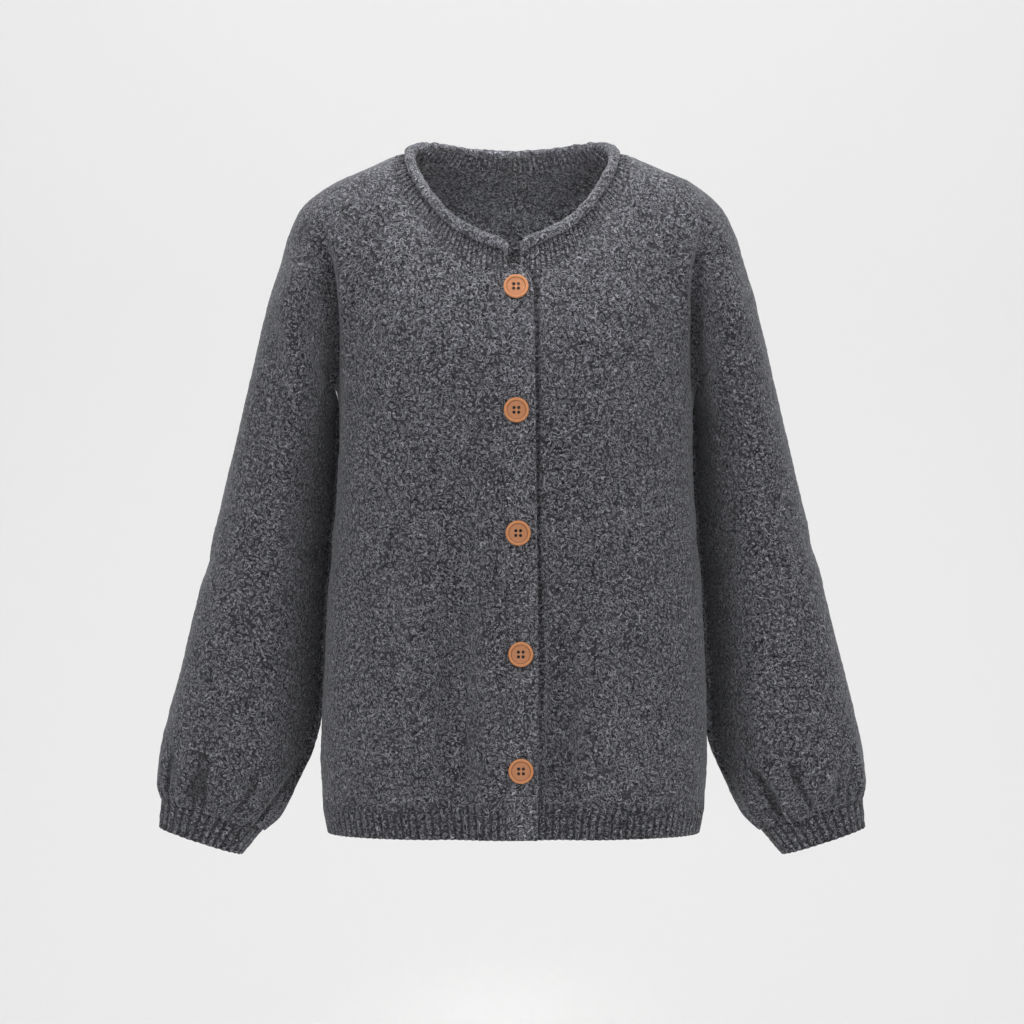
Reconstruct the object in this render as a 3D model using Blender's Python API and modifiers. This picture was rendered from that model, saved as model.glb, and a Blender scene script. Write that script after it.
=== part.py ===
"""Button-front knitted cardigan, filled out as it is worn, with hollow body and sleeves.

The frame is metres, +Z up, the front towards -Y and the wearer's right towards -X. The
origin is where the wearer holds the garment: the middle of the neck base, between the two
shoulder points. The body surface is one smooth shape, a torso with two upper arms that
blend into it, and the panels are cut from it along the seams that a maker would sew.
Every knitted piece is a wall of its own thickness, half a millimetre from its neighbour.
"""

import math

import bmesh
import bpy
import numpy as np
from mathutils import Vector

MM = 0.001  # the dimensions below are in millimetres

# Cloth
WALL = 2.2  # plain knit
BAND_WALL = 2.4  # front bands
SEAM = 0.5  # between the edges of two pieces sewn together
UNDERARM_SEAM = 0.85  # added to each edge where the seam folds tightly, at the underarm
OVERLAP_STEP = 1.8  # each front leaves the mean surface by this much at the overlap

# Body lengths
Z_SHOULDER = 7.0  # shoulder point at the neck
Z_SLEEVE_TOP = -118.0  # end of the shoulder seam on the upper arm
Z_UNDERARM = -205.0
Z_HEM_TOP = -589.5
Z_HEM = -612.0
Z_NECK_FRONT = -103.0

# Ribs
HEM_RIB, CUFF_RIB, NECK_RIB = 6.9, 6.9, 5.2  # pitch
RIB_CREST, RIB_VALLEY = 3.0, 1.9  # wall at a crest and between two crests

# Rolled edge of the neckband
ROLL_RADIUS = 4.2  # middle of the wall
ROLL_WALL = 2.2

# Front closing
BUTTON_D, BUTTON_T = 22.5, 4.0
BUTTON_HOLE_D, BUTTON_HOLE_PITCH = 2.1, 4.2
BUTTON_GAP = 0.8  # from the band to the button's back
BUTTONS = ((3.6, -118.9), (3.9, -228.8), (5.5, -338.0), (7.8, -446.0), (8.0, -550.0))

# Front bands: their columns' shares of the width, and the over band's rounded upper corner,
# as the height of its top edge over the neckline at each of them.
BAND_SHARES = (0.0, 0.17, 0.25, 0.5, 0.76, 0.92, 1.0)
BAND_TOP_OVER = (-1.2, -1.0, 4.6, 5.2, 1.2, -5.0, -14.0)
BAND_TOP_UNDER = -1.0
BAND_TOP_LENGTH = 57.0  # the length of band over which its levels bend to that edge

# Grid sizes
ROWS_LOW = (-589.5, -540.0, -490.0, -440.0, -390.0, -340.0, -290.0, -245.0, -217.0, -208.0, -205.0)
ROWS_HIGH = 11
NECK_COLUMNS_FRONT, NECK_COLUMNS_BACK, SHOULDER_COLUMNS = 10, 6, 6

# Horizontal sections from the shoulder down to the hem. width is the torso's half width and
# shift its middle, front and back are its depths. reach is the outside of the shoulder and
# upper arm, gap the space from the torso to the arm (negative where they run together), and
# thick the arm's half depth.
SECTION_COLUMNS = ("z", "width", "shift", "front", "back", "reach", "gap", "thick")
SECTIONS = (
    (7.0, 84.0, 0.0, 18.0, 32.0, 108.0, -22.0, 12.0),
    (-4.5, 107.0, 0.0, 27.5, 47.8, 131.8, -33.0, 22.0),
    (-11.6, 124.0, 0.0, 34.0, 55.5, 149.5, -42.0, 30.0),
    (-19.0, 139.0, 0.0, 39.3, 62.5, 164.7, -51.0, 36.0),
    (-26.3, 152.0, 0.0, 44.0, 68.5, 176.3, -61.0, 41.0),
    (-33.0, 162.0, 0.0, 48.2, 73.5, 184.8, -68.0, 45.0),
    (-43.7, 171.0, 0.0, 55.0, 79.5, 194.0, -75.0, 49.5),
    (-54.0, 174.0, 0.5, 61.2, 84.5, 200.0, -74.0, 53.5),
    (-69.0, 172.0, 1.0, 70.0, 91.0, 205.6, -62.0, 58.5),
    (-91.0, 167.0, 2.0, 80.0, 97.0, 211.8, -41.0, 63.0),
    (-113.0, 163.0, 3.0, 88.0, 102.0, 219.0, -26.0, 66.0),
    (-140.0, 161.0, 3.8, 96.0, 106.0, 226.6, -10.0, 67.0),
    (-161.0, 161.0, 3.8, 100.0, 108.0, 231.4, -1.0, 67.0),
    (-185.0, 161.0, 3.8, 104.0, 109.0, 237.0, 7.0, 67.0),
    (-205.0, 161.0, 3.8, 106.0, 109.0, 242.0, 14.0, 67.0),
    (-230.0, 161.0, 3.8, 108.0, 109.0, 248.0, 24.0, 67.0),
    (-245.0, 161.4, 3.6, 109.0, 108.5, 252.0, 40.0, 66.0),
    (-300.0, 163.0, 3.2, 110.0, 108.0, 264.0, 60.0, 64.0),
    (-355.0, 167.5, 2.8, 110.0, 107.0, 276.0, 60.0, 62.0),
    (-410.0, 171.6, 3.0, 109.0, 107.0, 288.0, 60.0, 60.0),
    (-465.0, 173.8, 2.8, 109.0, 107.0, 300.0, 60.0, 60.0),
    (-529.0, 176.2, 1.5, 110.0, 108.0, 314.0, 60.0, 60.0),
    (-575.0, 175.3, 1.3, 110.0, 109.0, 324.0, 60.0, 60.0),
    (-598.0, 171.8, 1.5, 107.5, 107.0, 326.0, 60.0, 60.0),
    (-612.0, 169.0, 1.5, 105.0, 104.5, 326.0, 60.0, 60.0),
)
TORSO_POWER, ARM_POWER = 2.5, 2.25  # how square the superellipses are
BLEND = 28.0  # width of the fold where the arm meets the torso

# Outside edge of the sleeve seen from the front, as half widths.
SLEEVE_OUTSIDE = (
    (-118.0, 220.3), (-124.0, 222.2), (-143.0, 226.8), (-161.0, 231.4), (-198.0, 240.1),
    (-253.0, 253.0), (-290.0, 262.2), (-345.0, 275.5), (-382.0, 284.3), (-419.0, 293.9),
    (-455.0, 302.7), (-492.0, 312.3), (-529.0, 321.0), (-547.0, 324.2), (-560.0, 325.6),
    (-570.0, 325.9), (-578.0, 324.9), (-583.0, 322.8),
)
# Inside edge below the place where it leaves the torso.
SLEEVE_INSIDE = (
    (-521.0, 179.8), (-540.0, 186.0), (-558.0, 194.0), (-580.0, 204.5), (-595.0, 213.0),
    (-605.0, 221.5), (-611.5, 229.5),
)
SLEEVE_CLEAR = 3.2  # from the torso's wall to the sleeve's, middle to middle
UNDERARM_CLEAR = 8.0  # added to it just below the armhole
# Half depth of the sleeve along its length (0 at the armhole, 1 at the cuff).
SLEEVE_DEPTH = (
    (0.0, 67.0), (0.2, 65.0), (0.45, 62.0), (0.7, 60.0), (0.85, 57.0), (0.93, 50.0), (1.0, 35.0),
)
SLEEVE_ROWS = (0.0, 0.012, 0.035, 0.08, 0.17, 0.28, 0.4, 0.52, 0.63, 0.74, 0.83, 0.89, 0.94, 0.975, 1.0)
SLEEVE_BACK = 20.0  # how far back the forearm hangs
SLEEVE_END = -597.0  # middle height of the sleeve's last ring
# Height from the inner to the outer point of a ring: at the armhole, and where the sleeve
# hangs straight.
RING_RISE_TOP, RING_RISE_LOW = 87.0, 29.0
GATHERS, GATHER_DEPTH = 8, 2.4
SLEEVE_MIDDLE = 270.0  # x, a point inside the sleeve at any height

# Cuff edges in the XZ plane, outer and inner point, and half depth there.
CUFF_TOP = ((323.4, -583.4), (231.3, -612.9), 32.5)
CUFF_BOTTOM = ((325.8, -609.8), (249.6, -634.5), 27.0)
CUFF_COLUMNS = 2 * 32
CUFF_POWER = 2.3  # how square its oval is
CUFF_MIDDLE = 282.0  # x, inside the cuff

# Neckline, from the centre front to the centre back. The seam joins the panels to the
# neckband and the roll is the middle of the rolled edge at the band's top. The columns are
# the seam's x and z and the roll's x, y and z.
NECK_FRONT = (
    (0.0, -103.2, 0.0, -82.5, -78.2),
    (6.0, -103.0, 5.5, -82.5, -78.0),
    (30.0, -100.8, 22.5, -81.0, -73.6),
    (49.4, -89.1, 36.9, -76.0, -66.8),
    (63.1, -76.8, 51.4, -68.0, -58.5),
    (77.7, -61.6, 65.2, -58.0, -45.5),
    (88.9, -47.0, 76.8, -47.0, -31.0),
    (98.9, -31.3, 86.3, -36.0, -15.2),
    (105.2, -16.6, 92.2, -26.0, -3.0),
    (108.2, -3.7, 94.2, -13.0, 6.2),
    (108.0, 7.0, 92.3, 5.0, 13.8),
)
NECK_BACK = (
    (108.0, 7.0, 92.3, 5.0, 13.8),
    (104.0, 7.4, 87.6, 14.0, 18.4),
    (96.0, 7.0, 80.2, 22.0, 19.6),
    (80.0, 4.8, 65.8, 31.0, 17.5),
    (50.0, 0.5, 41.9, 40.0, 14.0),
    (0.0, -3.2, 0.0, 45.0, 11.7),
)
NECK_END_OVER, NECK_END_UNDER = -4.0, 7.0  # x of the two ends of the neckband
ROLL_END_OVER, ROLL_END_UNDER = -5.6, 9.0  # and of the roll
NECK_END_ROUND = 8.0  # radius of the rounded corner at each end
NECK_FOOT, NECK_FOOT_FOLD = 2 * SEAM, 1.9  # from the seam to the band, and more where it folds
NECK_TOP = 4.4 * SEAM  # from the band's top to the roll's middle

# Soft hollows that hang down beside the front bands.
HOLLOW_COLUMNS = ("z", "x", "depth", "width")
HOLLOWS = (
    ((-230.0, -44.0, 0.0, 24.0), (-330.0, -47.0, 3.5, 24.0), (-450.0, -50.0, 7.0, 23.0),
     (-612.0, -53.0, 8.0, 22.0)),
    ((-380.0, 47.0, 0.0, 20.0), (-460.0, 47.0, 3.5, 20.0), (-540.0, 44.0, 7.0, 20.0),
     (-612.0, 40.0, 7.5, 20.0)),
)


# ---------------------------------------------------------------- numbers


def smooth_curve(points, column=1):
    """A smooth function through the points of a table, without overshoot."""
    rows = sorted(points)
    x = np.array([row[0] for row in rows], float)
    y = np.array([row[column] for row in rows], float)
    step = np.diff(x)
    slope = np.diff(y) / step
    tangent = np.concatenate([slope[:1], (slope[1:] + slope[:-1]) / 2, slope[-1:]])
    turning = slope[1:] * slope[:-1] <= 0
    tangent[1:-1][turning] = 0
    limit = 3 * np.minimum(np.abs(slope[1:]), np.abs(slope[:-1]))
    tangent[1:-1] = np.clip(tangent[1:-1], -limit, limit)

    def value(at):
        at = np.clip(np.asarray(at, float), x[0], x[-1])
        i = np.clip(np.searchsorted(x, at) - 1, 0, len(step) - 1)
        t = (at - x[i]) / step[i]
        rise = (1 - t) ** 2 * (t * step[i] * tangent[i] + (1 + 2 * t) * y[i])
        return rise + t**2 * ((t - 1) * step[i] * tangent[i + 1] + (3 - 2 * t) * y[i + 1])

    return value


def smoothstep(t):
    t = np.clip(t, 0.0, 1.0)
    return t * t * (3 - 2 * t)


def resampled(path, fractions):
    """Points at these fractions of a path's length."""
    length = np.concatenate([[0], np.cumsum(np.linalg.norm(np.diff(path, axis=0), axis=1))])
    return np.stack([np.interp(np.asarray(fractions) * length[-1], length, path[:, k])
                     for k in range(path.shape[1])], axis=1)


SECTION = {name: smooth_curve(SECTIONS, k) for k, name in enumerate(SECTION_COLUMNS) if k}
HOLLOW = [{name: smooth_curve(rows, k) for k, name in enumerate(HOLLOW_COLUMNS) if k}
          for rows in HOLLOWS]
OUTSIDE = smooth_curve(SLEEVE_OUTSIDE)
INSIDE = smooth_curve(SLEEVE_INSIDE)
DEPTH = smooth_curve(SLEEVE_DEPTH)


def band_edges(z):
    """x of the two long edges of the front bands: the seam of the over band, and its free edge."""
    down = np.clip((-120.0 - np.asarray(z, float)) / 330.0, 0, 1)
    return -8.8 + 4.2 * down, 18.8 + 3.8 * down


# ---------------------------------------------------------------- body surface


def superellipse(dx, dy, a, b, power):
    """Distance, to first order, from a superellipse with half axes a and b."""
    u, v = np.abs(dx) / a + 1e-9, np.abs(dy) / b + 1e-9
    r = (u**power + v**power) ** (1 / power)
    return (r - 1) / np.hypot((u / r) ** (power - 1) / a, (v / r) ** (power - 1) / b)


def arm_edge(side, z):
    return SECTION["width"](z) + side * SECTION["shift"](z) + SECTION["gap"](z)


def outside(side, x, y, z):
    """Distance to the garment's middle surface, positive outside. side is -1 for the wearer's
    right, and x is measured outward on that side."""
    depth = np.where(y < 0, SECTION["front"](z), SECTION["back"](z))
    torso = superellipse(x - side * SECTION["shift"](z), y, SECTION["width"](z), depth, TORSO_POWER)
    inner, reach = arm_edge(side, z), SECTION["reach"](z)
    half = (reach - inner) / 2
    arm = superellipse(x - (reach + inner) / 2, y, half, SECTION["thick"](z), ARM_POWER)
    fold = np.maximum(BLEND - np.abs(torso - arm), 0) / BLEND
    return np.minimum(torso, arm) - fold**2 * BLEND / 4


def gradient(side, points, step=0.05):
    x, y, z = points.T
    parts = [outside(side, x + step, y, z) - outside(side, x - step, y, z),
             outside(side, x, y + step, z) - outside(side, x, y - step, z),
             outside(side, x, y, z + step) - outside(side, x, y, z - step)]
    return np.stack(parts, axis=1) / (2 * step)


def onto_surface(side, points, fixed=()):
    """Points moved onto the surface, along its gradient or in the axes that aren't fixed."""
    points = np.array(points, float)
    for _ in range(18):
        slope = gradient(side, points)
        slope[:, list(fixed)] = 0
        size = np.maximum((slope**2).sum(axis=1), 0.04)
        move = outside(side, *points.T) / size
        points -= slope * np.clip(move, -4, 4)[:, None]
    return points


class Half:
    """Level lines of one quarter of the torso, from the centre front or back to the side."""

    STEP = 1.0

    def __init__(self, side, face):
        self.side, self.face = side, face
        self.z = np.concatenate([np.arange(Z_HEM - 8, -235, 8.0), np.arange(-235, Z_UNDERARM, 1.0)])
        count = 320
        line = np.zeros((count, len(self.z), 2))
        depth = SECTION["front" if face < 0 else "back"](self.z)
        x, y = np.zeros(len(self.z)), face * depth
        length = np.full(len(self.z), np.nan)
        for _ in range(8):
            y = y - face * outside(side, x, y, self.z)
        for k in range(count):
            ended = ~np.isnan(length)
            line[k] = np.stack([x, y], axis=1)
            slope = gradient(side, np.stack([x, y, self.z], axis=1))[:, :2]
            slope /= np.linalg.norm(slope, axis=1)[:, None]
            along = np.stack([-face * -slope[:, 1], -face * slope[:, 0]], axis=1)
            new_x, new_y = x + self.STEP * along[:, 0], y + self.STEP * along[:, 1]
            for _ in range(2):
                miss = outside(side, new_x, new_y, self.z)
                slope = gradient(side, np.stack([new_x, new_y, self.z], axis=1))[:, :2]
                size = np.maximum((slope**2).sum(axis=1), 0.2)
                new_x, new_y = new_x - miss * slope[:, 0] / size, new_y - miss * slope[:, 1] / size
            over = ~ended & (new_y * face <= 0)
            part = np.where(over, y / np.where(over, y - new_y, 1), 1)
            length[over] = (k + part[over]) * self.STEP
            new_x = np.where(over, x + part * (new_x - x), new_x)
            new_y = np.where(over, 0, new_y)
            x, y = np.where(ended, x, new_x), np.where(ended, y, new_y)
        self.line = line
        self.length = np.where(np.isnan(length), count * self.STEP, length)

    def at(self, s, z):
        """Point at arc length s of the level line at z."""
        s, z = np.broadcast_arrays(np.asarray(s, float), np.asarray(z, float))
        k = np.clip(np.searchsorted(self.z, z) - 1, 0, len(self.z) - 2)
        t = np.clip((z - self.z[k]) / (self.z[k + 1] - self.z[k]), 0, 1)
        i = np.clip((s / self.STEP).astype(int), 0, len(self.line) - 2)
        f = np.clip(s / self.STEP - i, 0, 1)
        low = self.line[i, k] * (1 - f)[..., None] + self.line[i + 1, k] * f[..., None]
        high = self.line[i, k + 1] * (1 - f)[..., None] + self.line[i + 1, k + 1] * f[..., None]
        flat = low * (1 - t)[..., None] + high * t[..., None]
        return np.concatenate([flat, z[..., None]], axis=-1)

    def full(self, z):
        return np.interp(z, self.z, self.length)

    def arc_of_x(self, x, z):
        """Arc length at which the level line at z has come out to x."""
        s = np.arange(0, len(self.line), 0.5)
        found = self.at(s, np.full(len(s), z))[:, 0]
        return float(s[np.argmax(found >= x)]) if (found >= x).any() else float(self.full(z))


def underarm(side):
    return np.array([arm_edge(side, Z_UNDERARM) - SECTION["gap"](Z_UNDERARM) / 2, 0.0, Z_UNDERARM])


def sleeve_top(side):
    return np.array([float(SECTION["reach"](Z_SLEEVE_TOP)), 0.0, Z_SLEEVE_TOP])


def armhole(side, face, count):
    """The armhole seam's front or back half, from the underarm up to the end of the shoulder seam."""
    low, high = underarm(side), sleeve_top(side)
    middle, axis = (low + high) / 2, (low - high) / 2
    angles = np.linspace(0, math.pi, 181)
    radius = np.full(len(angles), 0.0)
    near, far = np.full(len(angles), 0.3), 1.02 + 0.4 * np.sin(angles)
    across = np.array([0.0, face * 60.0, 0.0])
    ray = np.cos(angles)[:, None] * axis + np.sin(angles)[:, None] * across
    for _ in range(40):
        radius = (near + far) / 2
        beyond = outside(side, *(middle + radius[:, None] * ray).T) > 0
        near, far = np.where(beyond, near, radius), np.where(beyond, radius, far)
    radius[0] = radius[-1] = 1.0
    return resampled(middle + radius[:, None] * ray, np.linspace(0, 1, count + 1))


# ---------------------------------------------------------------- panels


def neckline(side, face):
    """The neckline's half on the surface, from the centre to the shoulder point, densely."""
    table = NECK_FRONT if face < 0 else NECK_BACK[::-1]
    t = np.linspace(0, 1, len(table))
    fine = np.linspace(0, 1, 161)
    x = smooth_curve(list(zip(t, [row[0] for row in table])))(fine)
    z = smooth_curve(list(zip(t, [row[1] for row in table])))(fine)
    near, far = np.zeros(len(x)), np.full(len(x), 130.0)
    for _ in range(40):
        depth = (near + far) / 2
        beyond = outside(side, x, face * depth, z) > 0
        near, far = np.where(beyond, near, depth), np.where(beyond, depth, far)
    path = np.stack([x, face * depth, z], axis=1)
    path[-1] = (SECTION["reach"](Z_SHOULDER), 0.0, Z_SHOULDER)
    return path


def shoulder_points(side):
    """Points of the shoulder seam from the neck out to the sleeve."""
    z = np.concatenate([np.linspace(Z_SHOULDER, -40, 60), np.linspace(-41, Z_SLEEVE_TOP, 60)])
    path = np.stack([SECTION["reach"](z), 0 * z, z], axis=1)
    return resampled(path, np.linspace(0, 1, SHOULDER_COLUMNS + 1))


def panel_half(side, face, first_x, neck_columns):
    """Grid of one panel from the hem rib up, and from the line first_x(z) to the side seam."""
    half = Half(side, face)
    neck = neckline(side, face)
    start = np.argmax(neck[:, 0] >= first_x(Z_NECK_FRONT))
    neck = resampled(neck[start:], np.linspace(0, 1, neck_columns + 1))
    neck[0, 0] = first_x(Z_NECK_FRONT)
    top = np.concatenate([neck, shoulder_points(side)[1:]])
    share = np.linspace(0, 1, len(top))
    rows = []
    for z in ROWS_LOW:
        level = min(z, Z_UNDERARM - 1.0)
        first = half.arc_of_x(first_x(level), level)
        s = first + share * (float(half.full(level)) - first)
        row = half.at(s, np.full(len(s), level))
        row[:, 2], row[-1, 1] = z, 0.0
        rows.append(row)
    rows[-1][-1] = underarm(side)
    # Above the underarm the grid is spanned by its four edges, then laid on the surface.
    z = np.linspace(Z_UNDERARM, top[0, 2], ROWS_HIGH + 1)
    edge = np.stack([[first_x(level) for level in z], 0 * z + face * 90.0, z], axis=1)
    edge = onto_surface(side, edge, fixed=(0, 2))
    edge[0], edge[-1] = rows[-1][0], top[0]
    ring = armhole(side, face, ROWS_HIGH)
    u, v = share[None, :, None], np.linspace(0, 1, ROWS_HIGH + 1)[:, None, None]
    low, high = rows[-1][None], top[None]
    left, right = edge[:, None], ring[:, None]
    grid = (1 - v) * low + v * high
    grid += (1 - u) * (left - (1 - v) * low[:, :1] - v * high[:, :1])
    grid += u * (right - (1 - v) * low[:, -1:] - v * high[:, -1:])
    for _ in range(12):
        inner = grid[1:-1, 1:-1]
        round_it = grid[:-2, 1:-1] + grid[2:, 1:-1] + grid[1:-1, :-2] + grid[1:-1, 2:]
        inner = (inner + round_it / 4) / 2
        grid[1:-1, 1:-1] = onto_surface(side, inner.reshape(-1, 3)).reshape(inner.shape)
    grid = np.concatenate([np.array(rows), grid[1:]])
    grid[..., 0] *= side
    return grid


def front_shape(points, side=None):
    """Moves points of the front by the soft hollows and, on one front, by the overlap's step."""
    points = np.array(points, float)
    x, y, z = points[..., 0], points[..., 1], points[..., 2]
    ahead = smoothstep((-y - 25) / 45)
    for hollow in HOLLOW:
        bell = np.exp(-(((x - hollow["x"](z)) / hollow["width"](z)) ** 2))
        top = smoothstep((HOLLOWS[HOLLOW.index(hollow)][0][0] - z) / 60)
        y = y + hollow["depth"](z) * bell * ahead * top
    if side is not None:
        edge = band_edges(z)[0 if side < 0 else 1]
        y = y + side * OVERLAP_STEP * (1 - smoothstep(np.abs(x - edge) / 55)) * ahead
    points[..., 1] = y
    return points


def inset(grid, amounts):
    """Draws the grid's seam edges back into the cloth, at right angles to each seam, by the
    amount given for the edge or for each of its points."""
    grid = np.array(grid, float)
    source = grid.copy()
    for edge, amount in amounts.items():
        turned = edge in ("left", "right")
        rows = source.transpose(1, 0, 2) if turned else source
        line, inward = (rows[0], rows[1]) if edge in ("bottom", "left") else (rows[-1], rows[-2])
        along = np.gradient(line, axis=0)
        along /= np.maximum(np.linalg.norm(along, axis=1), 1e-9)[:, None]
        into = inward - line
        into -= (into * along).sum(axis=1)[:, None] * along
        into /= np.maximum(np.linalg.norm(into, axis=1), 1e-9)[:, None]
        target = grid.transpose(1, 0, 2) if turned else grid
        target[0 if edge in ("bottom", "left") else -1] += into * np.reshape(amount, (-1, 1))
    return grid


def side_amounts():
    """Seam amounts up the side seam and the armhole, larger where the fold is tight."""
    below = np.full(len(ROWS_LOW) - 1, SEAM / 2)
    return np.concatenate([below, armhole_amounts()])


def armhole_amounts():
    return 0.7 * SEAM + UNDERARM_SEAM * (1 - smoothstep(np.linspace(0, 1, ROWS_HIGH + 1) / 0.5))


# ---------------------------------------------------------------- Blender objects


def add_material(name, colour, roughness):
    material = bpy.data.materials.new(name)
    material.use_nodes = True
    shader = material.node_tree.nodes["Principled BSDF"]
    shader.inputs["Base Color"].default_value = (*colour, 1)
    shader.inputs["Roughness"].default_value = roughness
    shader.inputs["Metallic"].default_value = 0
    material.diffuse_color = (*colour, 1)
    return material


def place(name, mesh, material, collection, parent):
    piece = bpy.data.objects.new(name, mesh)
    mesh.materials.clear()
    mesh.materials.append(material)
    collection.objects.link(piece)
    piece.parent = parent
    return piece


def sheet(name, grid, material, collection, parent, outward, closed=False):
    """An open surface from a grid of points in millimetres, its faces turned outward."""
    grid = np.asarray(grid, float)
    rows, columns = grid.shape[:2]
    faces = []
    for i in range(rows - 1):
        for j in range(columns if closed else columns - 1):
            k = (j + 1) % columns
            faces.append((i * columns + j, i * columns + k, (i + 1) * columns + k,
                          (i + 1) * columns + j))
    mesh = bpy.data.meshes.new(name)
    mesh.from_pydata((grid.reshape(-1, 3) * MM).tolist(), [], faces)
    middle = mesh.polygons[len(faces) // 2]
    if middle.normal.dot(Vector(outward(np.array(middle.center) / MM))) < 0:
        mesh.flip_normals()
    mesh.shade_smooth()
    return place(name, mesh, material, collection, parent)


def thicken(piece, wall, offset=0.0, ribs=None):
    """Solidify, and where ribs holds a weight for each point, ribs on the outer side."""
    modifier = piece.modifiers.new("Wall", "SOLIDIFY")
    modifier.thickness = wall * MM
    modifier.offset = offset
    if ribs is not None:
        group = piece.vertex_groups.new(name="ribs")
        for index, weight in enumerate(ribs):
            group.add([index], float(weight), "REPLACE")
        modifier.vertex_group = "ribs"
    return piece


def rib_weights(rows, columns):
    """Crest, valley, crest ... along each row, the same on every row."""
    row = [1.0 if k % 2 else RIB_VALLEY / RIB_CREST for k in range(columns)]
    return row * rows


def level_line(side, face, z, first_x):
    """Dense points of the body's level line at z, from first_x to the side seam."""
    angles = np.linspace(0, math.pi / 2, 240)
    width, shift = float(SECTION["width"](z)), float(SECTION["shift"](z))
    depth = float(SECTION["front" if face < 0 else "back"](z))
    x = side * shift + width * np.sin(angles) ** (2 / TORSO_POWER)
    y = face * depth * np.cos(angles) ** (2 / TORSO_POWER)
    points = np.stack([x, y, np.full(len(x), z)], axis=1)
    if side * shift > 0 and first_x < x[0]:
        points = np.concatenate([[[first_x, y[0], z]], points])
    points = points[np.argmax(points[:, 0] >= first_x - 1e-6):]
    points = onto_surface(side, points, fixed=(2,))
    points[0, 0], points[-1, 1] = first_x, 0.0
    points[:, 0] *= side
    return points


def ribbed_band(low, high, pitch):
    """Two rows of points, with one crest and one valley for each rib."""
    length = np.linalg.norm(np.diff(high, axis=0), axis=1).sum()
    count = 2 * max(2, round(length / pitch)) + 1
    share = np.linspace(0, 1, count)
    return np.stack([resampled(low, share), resampled(high, share)]), count


def normals_of(rows):
    """Normals of a two-row band, by its direction along and across."""
    along = np.gradient(rows.mean(axis=0), axis=0)
    normal = np.cross(along, rows[1] - rows[0])
    return normal / np.linalg.norm(normal, axis=1)[:, None]


def from_axis(point):
    return (point[0], point[1], 0.0)


def build_body(material, collection, parent):
    """The two fronts and the back."""
    panels = {}
    for side, name in ((-1, "front_right"), (1, "front_left")):
        edge = 0 if side < 0 else 1
        grid = panel_half(side, -1, lambda z: side * float(band_edges(z)[edge]), NECK_COLUMNS_FRONT)
        grid = front_shape(grid, side)
        panels[name] = grid
        top = np.where(np.arange(grid.shape[1]) < NECK_COLUMNS_FRONT, SEAM, 1.6 * SEAM)
        cut = inset(grid, {"bottom": SEAM / 2, "top": top, "left": SEAM / 2,
                           "right": side_amounts()})
        thicken(sheet(name, cut, material, collection, parent, from_axis), WALL)
    left = panel_half(-1, 1, lambda z: 0.0, NECK_COLUMNS_BACK)
    right = panel_half(1, 1, lambda z: 0.0, NECK_COLUMNS_BACK)
    middle = (left[:, :1] + right[:, :1]) / 2
    grid = np.concatenate([left[:, :0:-1], middle, right[:, 1:]], axis=1)
    panels["back"] = grid
    across = np.abs(np.arange(grid.shape[1]) - grid.shape[1] // 2)
    top = np.where(across < NECK_COLUMNS_BACK, SEAM, 1.6 * SEAM)
    cut = inset(grid, {"bottom": SEAM / 2, "top": top, "left": side_amounts(),
                       "right": side_amounts()})
    thicken(sheet("back", cut, material, collection, parent, from_axis), WALL)
    return panels


def build_hem(material, collection, parent):
    """Ribbed hem in three pieces, one under each panel."""
    def pieces():
        for side, name in ((-1, "hem_front_right"), (1, "hem_front_left")):
            yield name, [(side, -1, lambda z: side * float(band_edges(z)[max(side, 0)]))]
        yield "hem_back", [(-1, 1, lambda z: 0.0), (1, 1, lambda z: 0.0)]

    for name, halves in pieces():
        rows = []
        for z in (Z_HEM, Z_HEM_TOP - SEAM):
            lines = [level_line(side, face, z, first_x(z)) for side, face, first_x in halves]
            line = lines[0] if len(lines) == 1 else np.concatenate([lines[0][::-1], lines[1][1:]])
            rows.append(line)
        if len(halves) == 1:
            rows = [front_shape(row, halves[0][0]) for row in rows]
        grid, count = ribbed_band(*rows, HEM_RIB)
        grid = inset(grid, {"left": SEAM / 2, "right": SEAM / 2})
        normal = normals_of(grid)
        outward = np.sign((normal * (grid.mean(axis=0) * (1, 1, 0))).sum(axis=1).mean())
        grid = grid - outward * normal * WALL / 2
        piece = sheet(name, grid, material, collection, parent, from_axis)
        thicken(piece, RIB_CREST, 1.0, rib_weights(2, count))


def build_bands(material, collection, parent):
    """The band with the buttons showing on it, and the one that lies under it."""
    levels = np.concatenate([[Z_HEM], ROWS_LOW,
                             np.linspace(Z_UNDERARM, Z_NECK_FRONT, 6)[1:]])
    shares = np.array(BAND_SHARES)
    for name, step in (("band_over", -OVERLAP_STEP), ("band_under", OVERLAP_STEP)):
        grid = []
        for z in levels:
            low, high = band_edges(z)
            if name == "band_over":
                low += SEAM / 2
            else:
                low, high = low - 0.8, high - SEAM / 2
            x = low + shares * (high - low)
            lift = smoothstep((z - Z_NECK_FRONT) / BAND_TOP_LENGTH + 1)
            top = BAND_TOP_OVER if name == "band_over" else BAND_TOP_UNDER
            level = z + lift * np.array(top) * np.ones(len(x))
            y = -SECTION["front"](level) * np.ones(len(x))
            points = np.stack([x, y, level], axis=1)
            points = onto_surface(1, points, fixed=(0, 2))
            points = front_shape(points)
            points[:, 1] += step
            grid.append(points)
        piece = sheet(name, grid, material, collection, parent, lambda p: (0, -1, 0))
        thicken(piece, BAND_WALL)


def torso_edge(side, y, z):
    """How far out the torso's side is at this depth and height."""
    depth = np.where(np.asarray(y) < 0, SECTION["front"](z), SECTION["back"](z))
    share = np.clip(1 - (np.abs(y) / depth) ** TORSO_POWER, 0, 1) ** (1 / TORSO_POWER)
    return SECTION["width"](z) * share + side * SECTION["shift"](z)


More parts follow.
